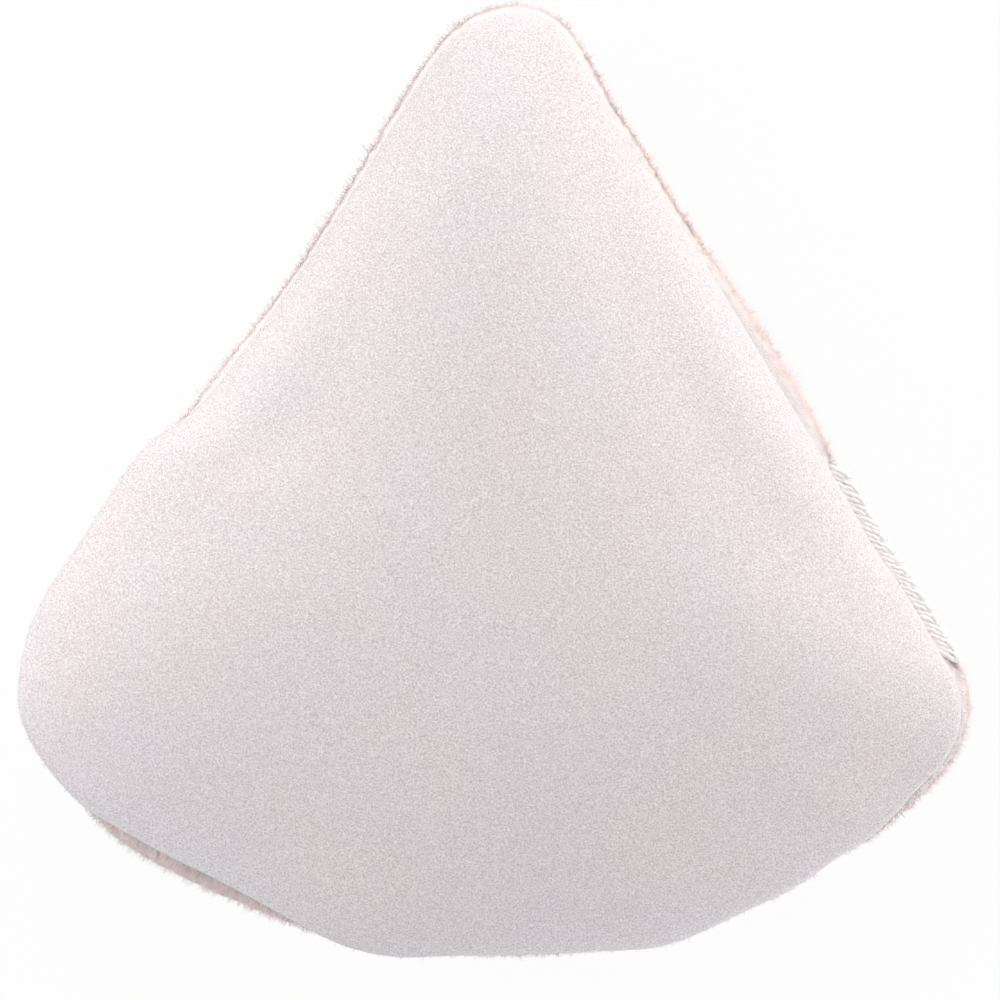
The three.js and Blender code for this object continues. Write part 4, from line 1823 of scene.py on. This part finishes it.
    def build(self) -> list[Piece]:
        """Builds the three threads."""
        material, made = self.finish.material(), []
        for kind, thread, places, width in (
            ("upper", "upper_looper", self._upper(), self.yarn),
            ("lower", "lower_looper", self._lower(), self.yarn),
            ("needle", "needle", self._needle(), self.needle),
        ):
            piece = self._yarn(f"overlock_{kind}_yarn", places, width)
            node = f"overlock_{thread}_thread"
            made.append(finish_piece(piece, material, node))
        return made


@dataclass(frozen=True)
class SoftLight:
    """A soft rectangular light that points at the puff and isn't seen itself.

    It stands at an azimuth from +X and an elevation, in degrees, and a distance
    in metres. Its level says how strongly it lights a surface that faces it.
    """

    name: str
    azimuth: float
    elevation: float
    distance: float
    size: Span
    level: float
    colour: Colour = WHITE

    def build(self) -> None:
        """Adds the light."""
        aim = Vector((0.0, 0.0, 0.01))
        turn, rise = math.radians(self.azimuth), math.radians(self.elevation)
        way = (math.cos(turn) * math.cos(rise), math.sin(turn) * math.cos(rise), math.sin(rise))
        place = self.distance * Vector(way)
        data = bpy.data.lights.new(self.name, "AREA")
        data.shape, (data.size, data.size_y) = "RECTANGLE", self.size
        data.energy = self.level * math.pi**2 * (place - aim).length ** 2
        data.color = self.colour
        light = bpy.data.objects.new(self.name, data)
        light.location = place
        light.rotation_euler = (aim - place).to_track_quat("-Z", "Y").to_euler()
        light.visible_camera = False
        bpy.context.collection.objects.link(light)


@dataclass
class Studio:
    """A plain white floor, soft lights and a camera straight above the face.

    The origin pixel is where the outline's own zero is in the photograph.
    """

    lens: float = 400.0
    sensor: float = 36.0
    picture: float = 1000.0
    millimetres_per_pixel: float = 0.0785
    origin_pixel: Span = (493.5, 482.0)
    face_level: float = 9.0
    world_light: float = 0.2
    floor_colour: Colour = (0.65, 0.65, 0.65)
    floor_glow: float = 0.97
    floor_radius: float = 3.0
    floor_drop: float = 0.00005
    lights: tuple[SoftLight, ...] = (
        SoftLight("high_light", 90, 30, 0.9, (0.5, 0.3), 0.49, (1.0, 0.985, 0.93)),
        SoftLight("left_light", 180, 35, 0.25, (0.2, 0.12), 0.48),
        SoftLight("upper_left_light", 135, 35, 0.25, (0.2, 0.12), 0.19),
        SoftLight("upper_right_light", 45, 12, 0.2, (0.2, 0.06), 0.66, (1.0, 0.985, 0.96)),
        SoftLight("lower_right_light", 315, 12, 0.2, (0.2, 0.06), 0.57),
        SoftLight("lower_left_light", 225, 12, 0.2, (0.2, 0.06), 0.10),
    )

    def build(self, rim: Rim) -> None:
        """Sets up the camera, the floor, the world and the lights."""
        self._camera(rim)
        self._floor()
        self._world()
        for light in self.lights:
            light.build()
        bpy.context.scene.view_settings.view_transform = "Standard"

    def _camera(self, rim: Rim) -> None:
        """Places the camera so that the picture has the photograph's frame."""
        data = bpy.data.cameras.new("camera")
        data.lens, data.sensor_width = self.lens, self.sensor
        camera = bpy.data.objects.new("camera", data)
        bpy.context.collection.objects.link(camera)
        middle, scale = self.picture / 2, self.millimetres_per_pixel
        x = (middle - self.origin_pixel[0]) * scale + rim.shift[0]
        y = (self.origin_pixel[1] - middle) * scale + rim.shift[1]
        far = self.picture * scale * self.lens / self.sensor
        camera.location = (x * MM, y * MM, (self.face_level + far) * MM)
        bpy.context.scene.camera = camera

    def _floor(self) -> None:
        """Makes a round white floor that keeps a faint shadow of the puff."""
        Bench.clear()
        bpy.ops.mesh.primitive_circle_add(vertices=64, radius=self.floor_radius, fill_type="NGON")
        floor = bpy.context.object
        floor.name = "floor"
        floor.location.z = -self.floor_drop
        board = NodeBoard(bpy.data.materials.new("white_floor"))
        board.set(Base_Color=self.floor_colour, Roughness=1.0)
        rays = board.add("LightPath", {})
        seen = board.math("MAXIMUM", rays["Is Camera Ray"], rays["Is Glossy Ray"])
        seen = board.math("MAXIMUM", seen, rays["Is Transmission Ray"])
        glow = board.add("Emission", {})[0]
        board.seen_as(board.math("MULTIPLY", seen, self.floor_glow), glow)
        floor.data.materials.append(board.owner)

    def _world(self) -> None:
        """Lights the puff evenly from all round and shows white behind it."""
        world = bpy.data.worlds.new("studio")
        bpy.context.scene.world = world
        board = NodeBoard(world, "Background")
        board.set(Color=WHITE, Strength=self.world_light)
        white = board.add("Background", {"Color": WHITE})[0]
        board.seen_as(board.add("LightPath", {})["Is Camera Ray"], white)


def main() -> None:
    """Builds the studio and every piece of the puff."""
    logging.basicConfig(level=logging.INFO, format="%(name)s: %(message)s")
    rim = Rim()
    Studio().build(rim)
    form = InflatedForm(rim)
    form.build()
    FaceCover(rim, form, BrushedMicrofibre()).build()
    GroundFabric(rim, form, GroundKnit()).build()
    FoamCore(rim, form, OpenCellFoam()).build()
    PlushPile(rim, Panel(rim, form, Side.BACK), PileFibre(), PileBed()).build()
    TurnedInSeam(rim, SpunThread()).build()
    ClosingSeam(rim, WoollyYarn()).build()
    Bench.clear()


if __name__ == "__main__":
    main()
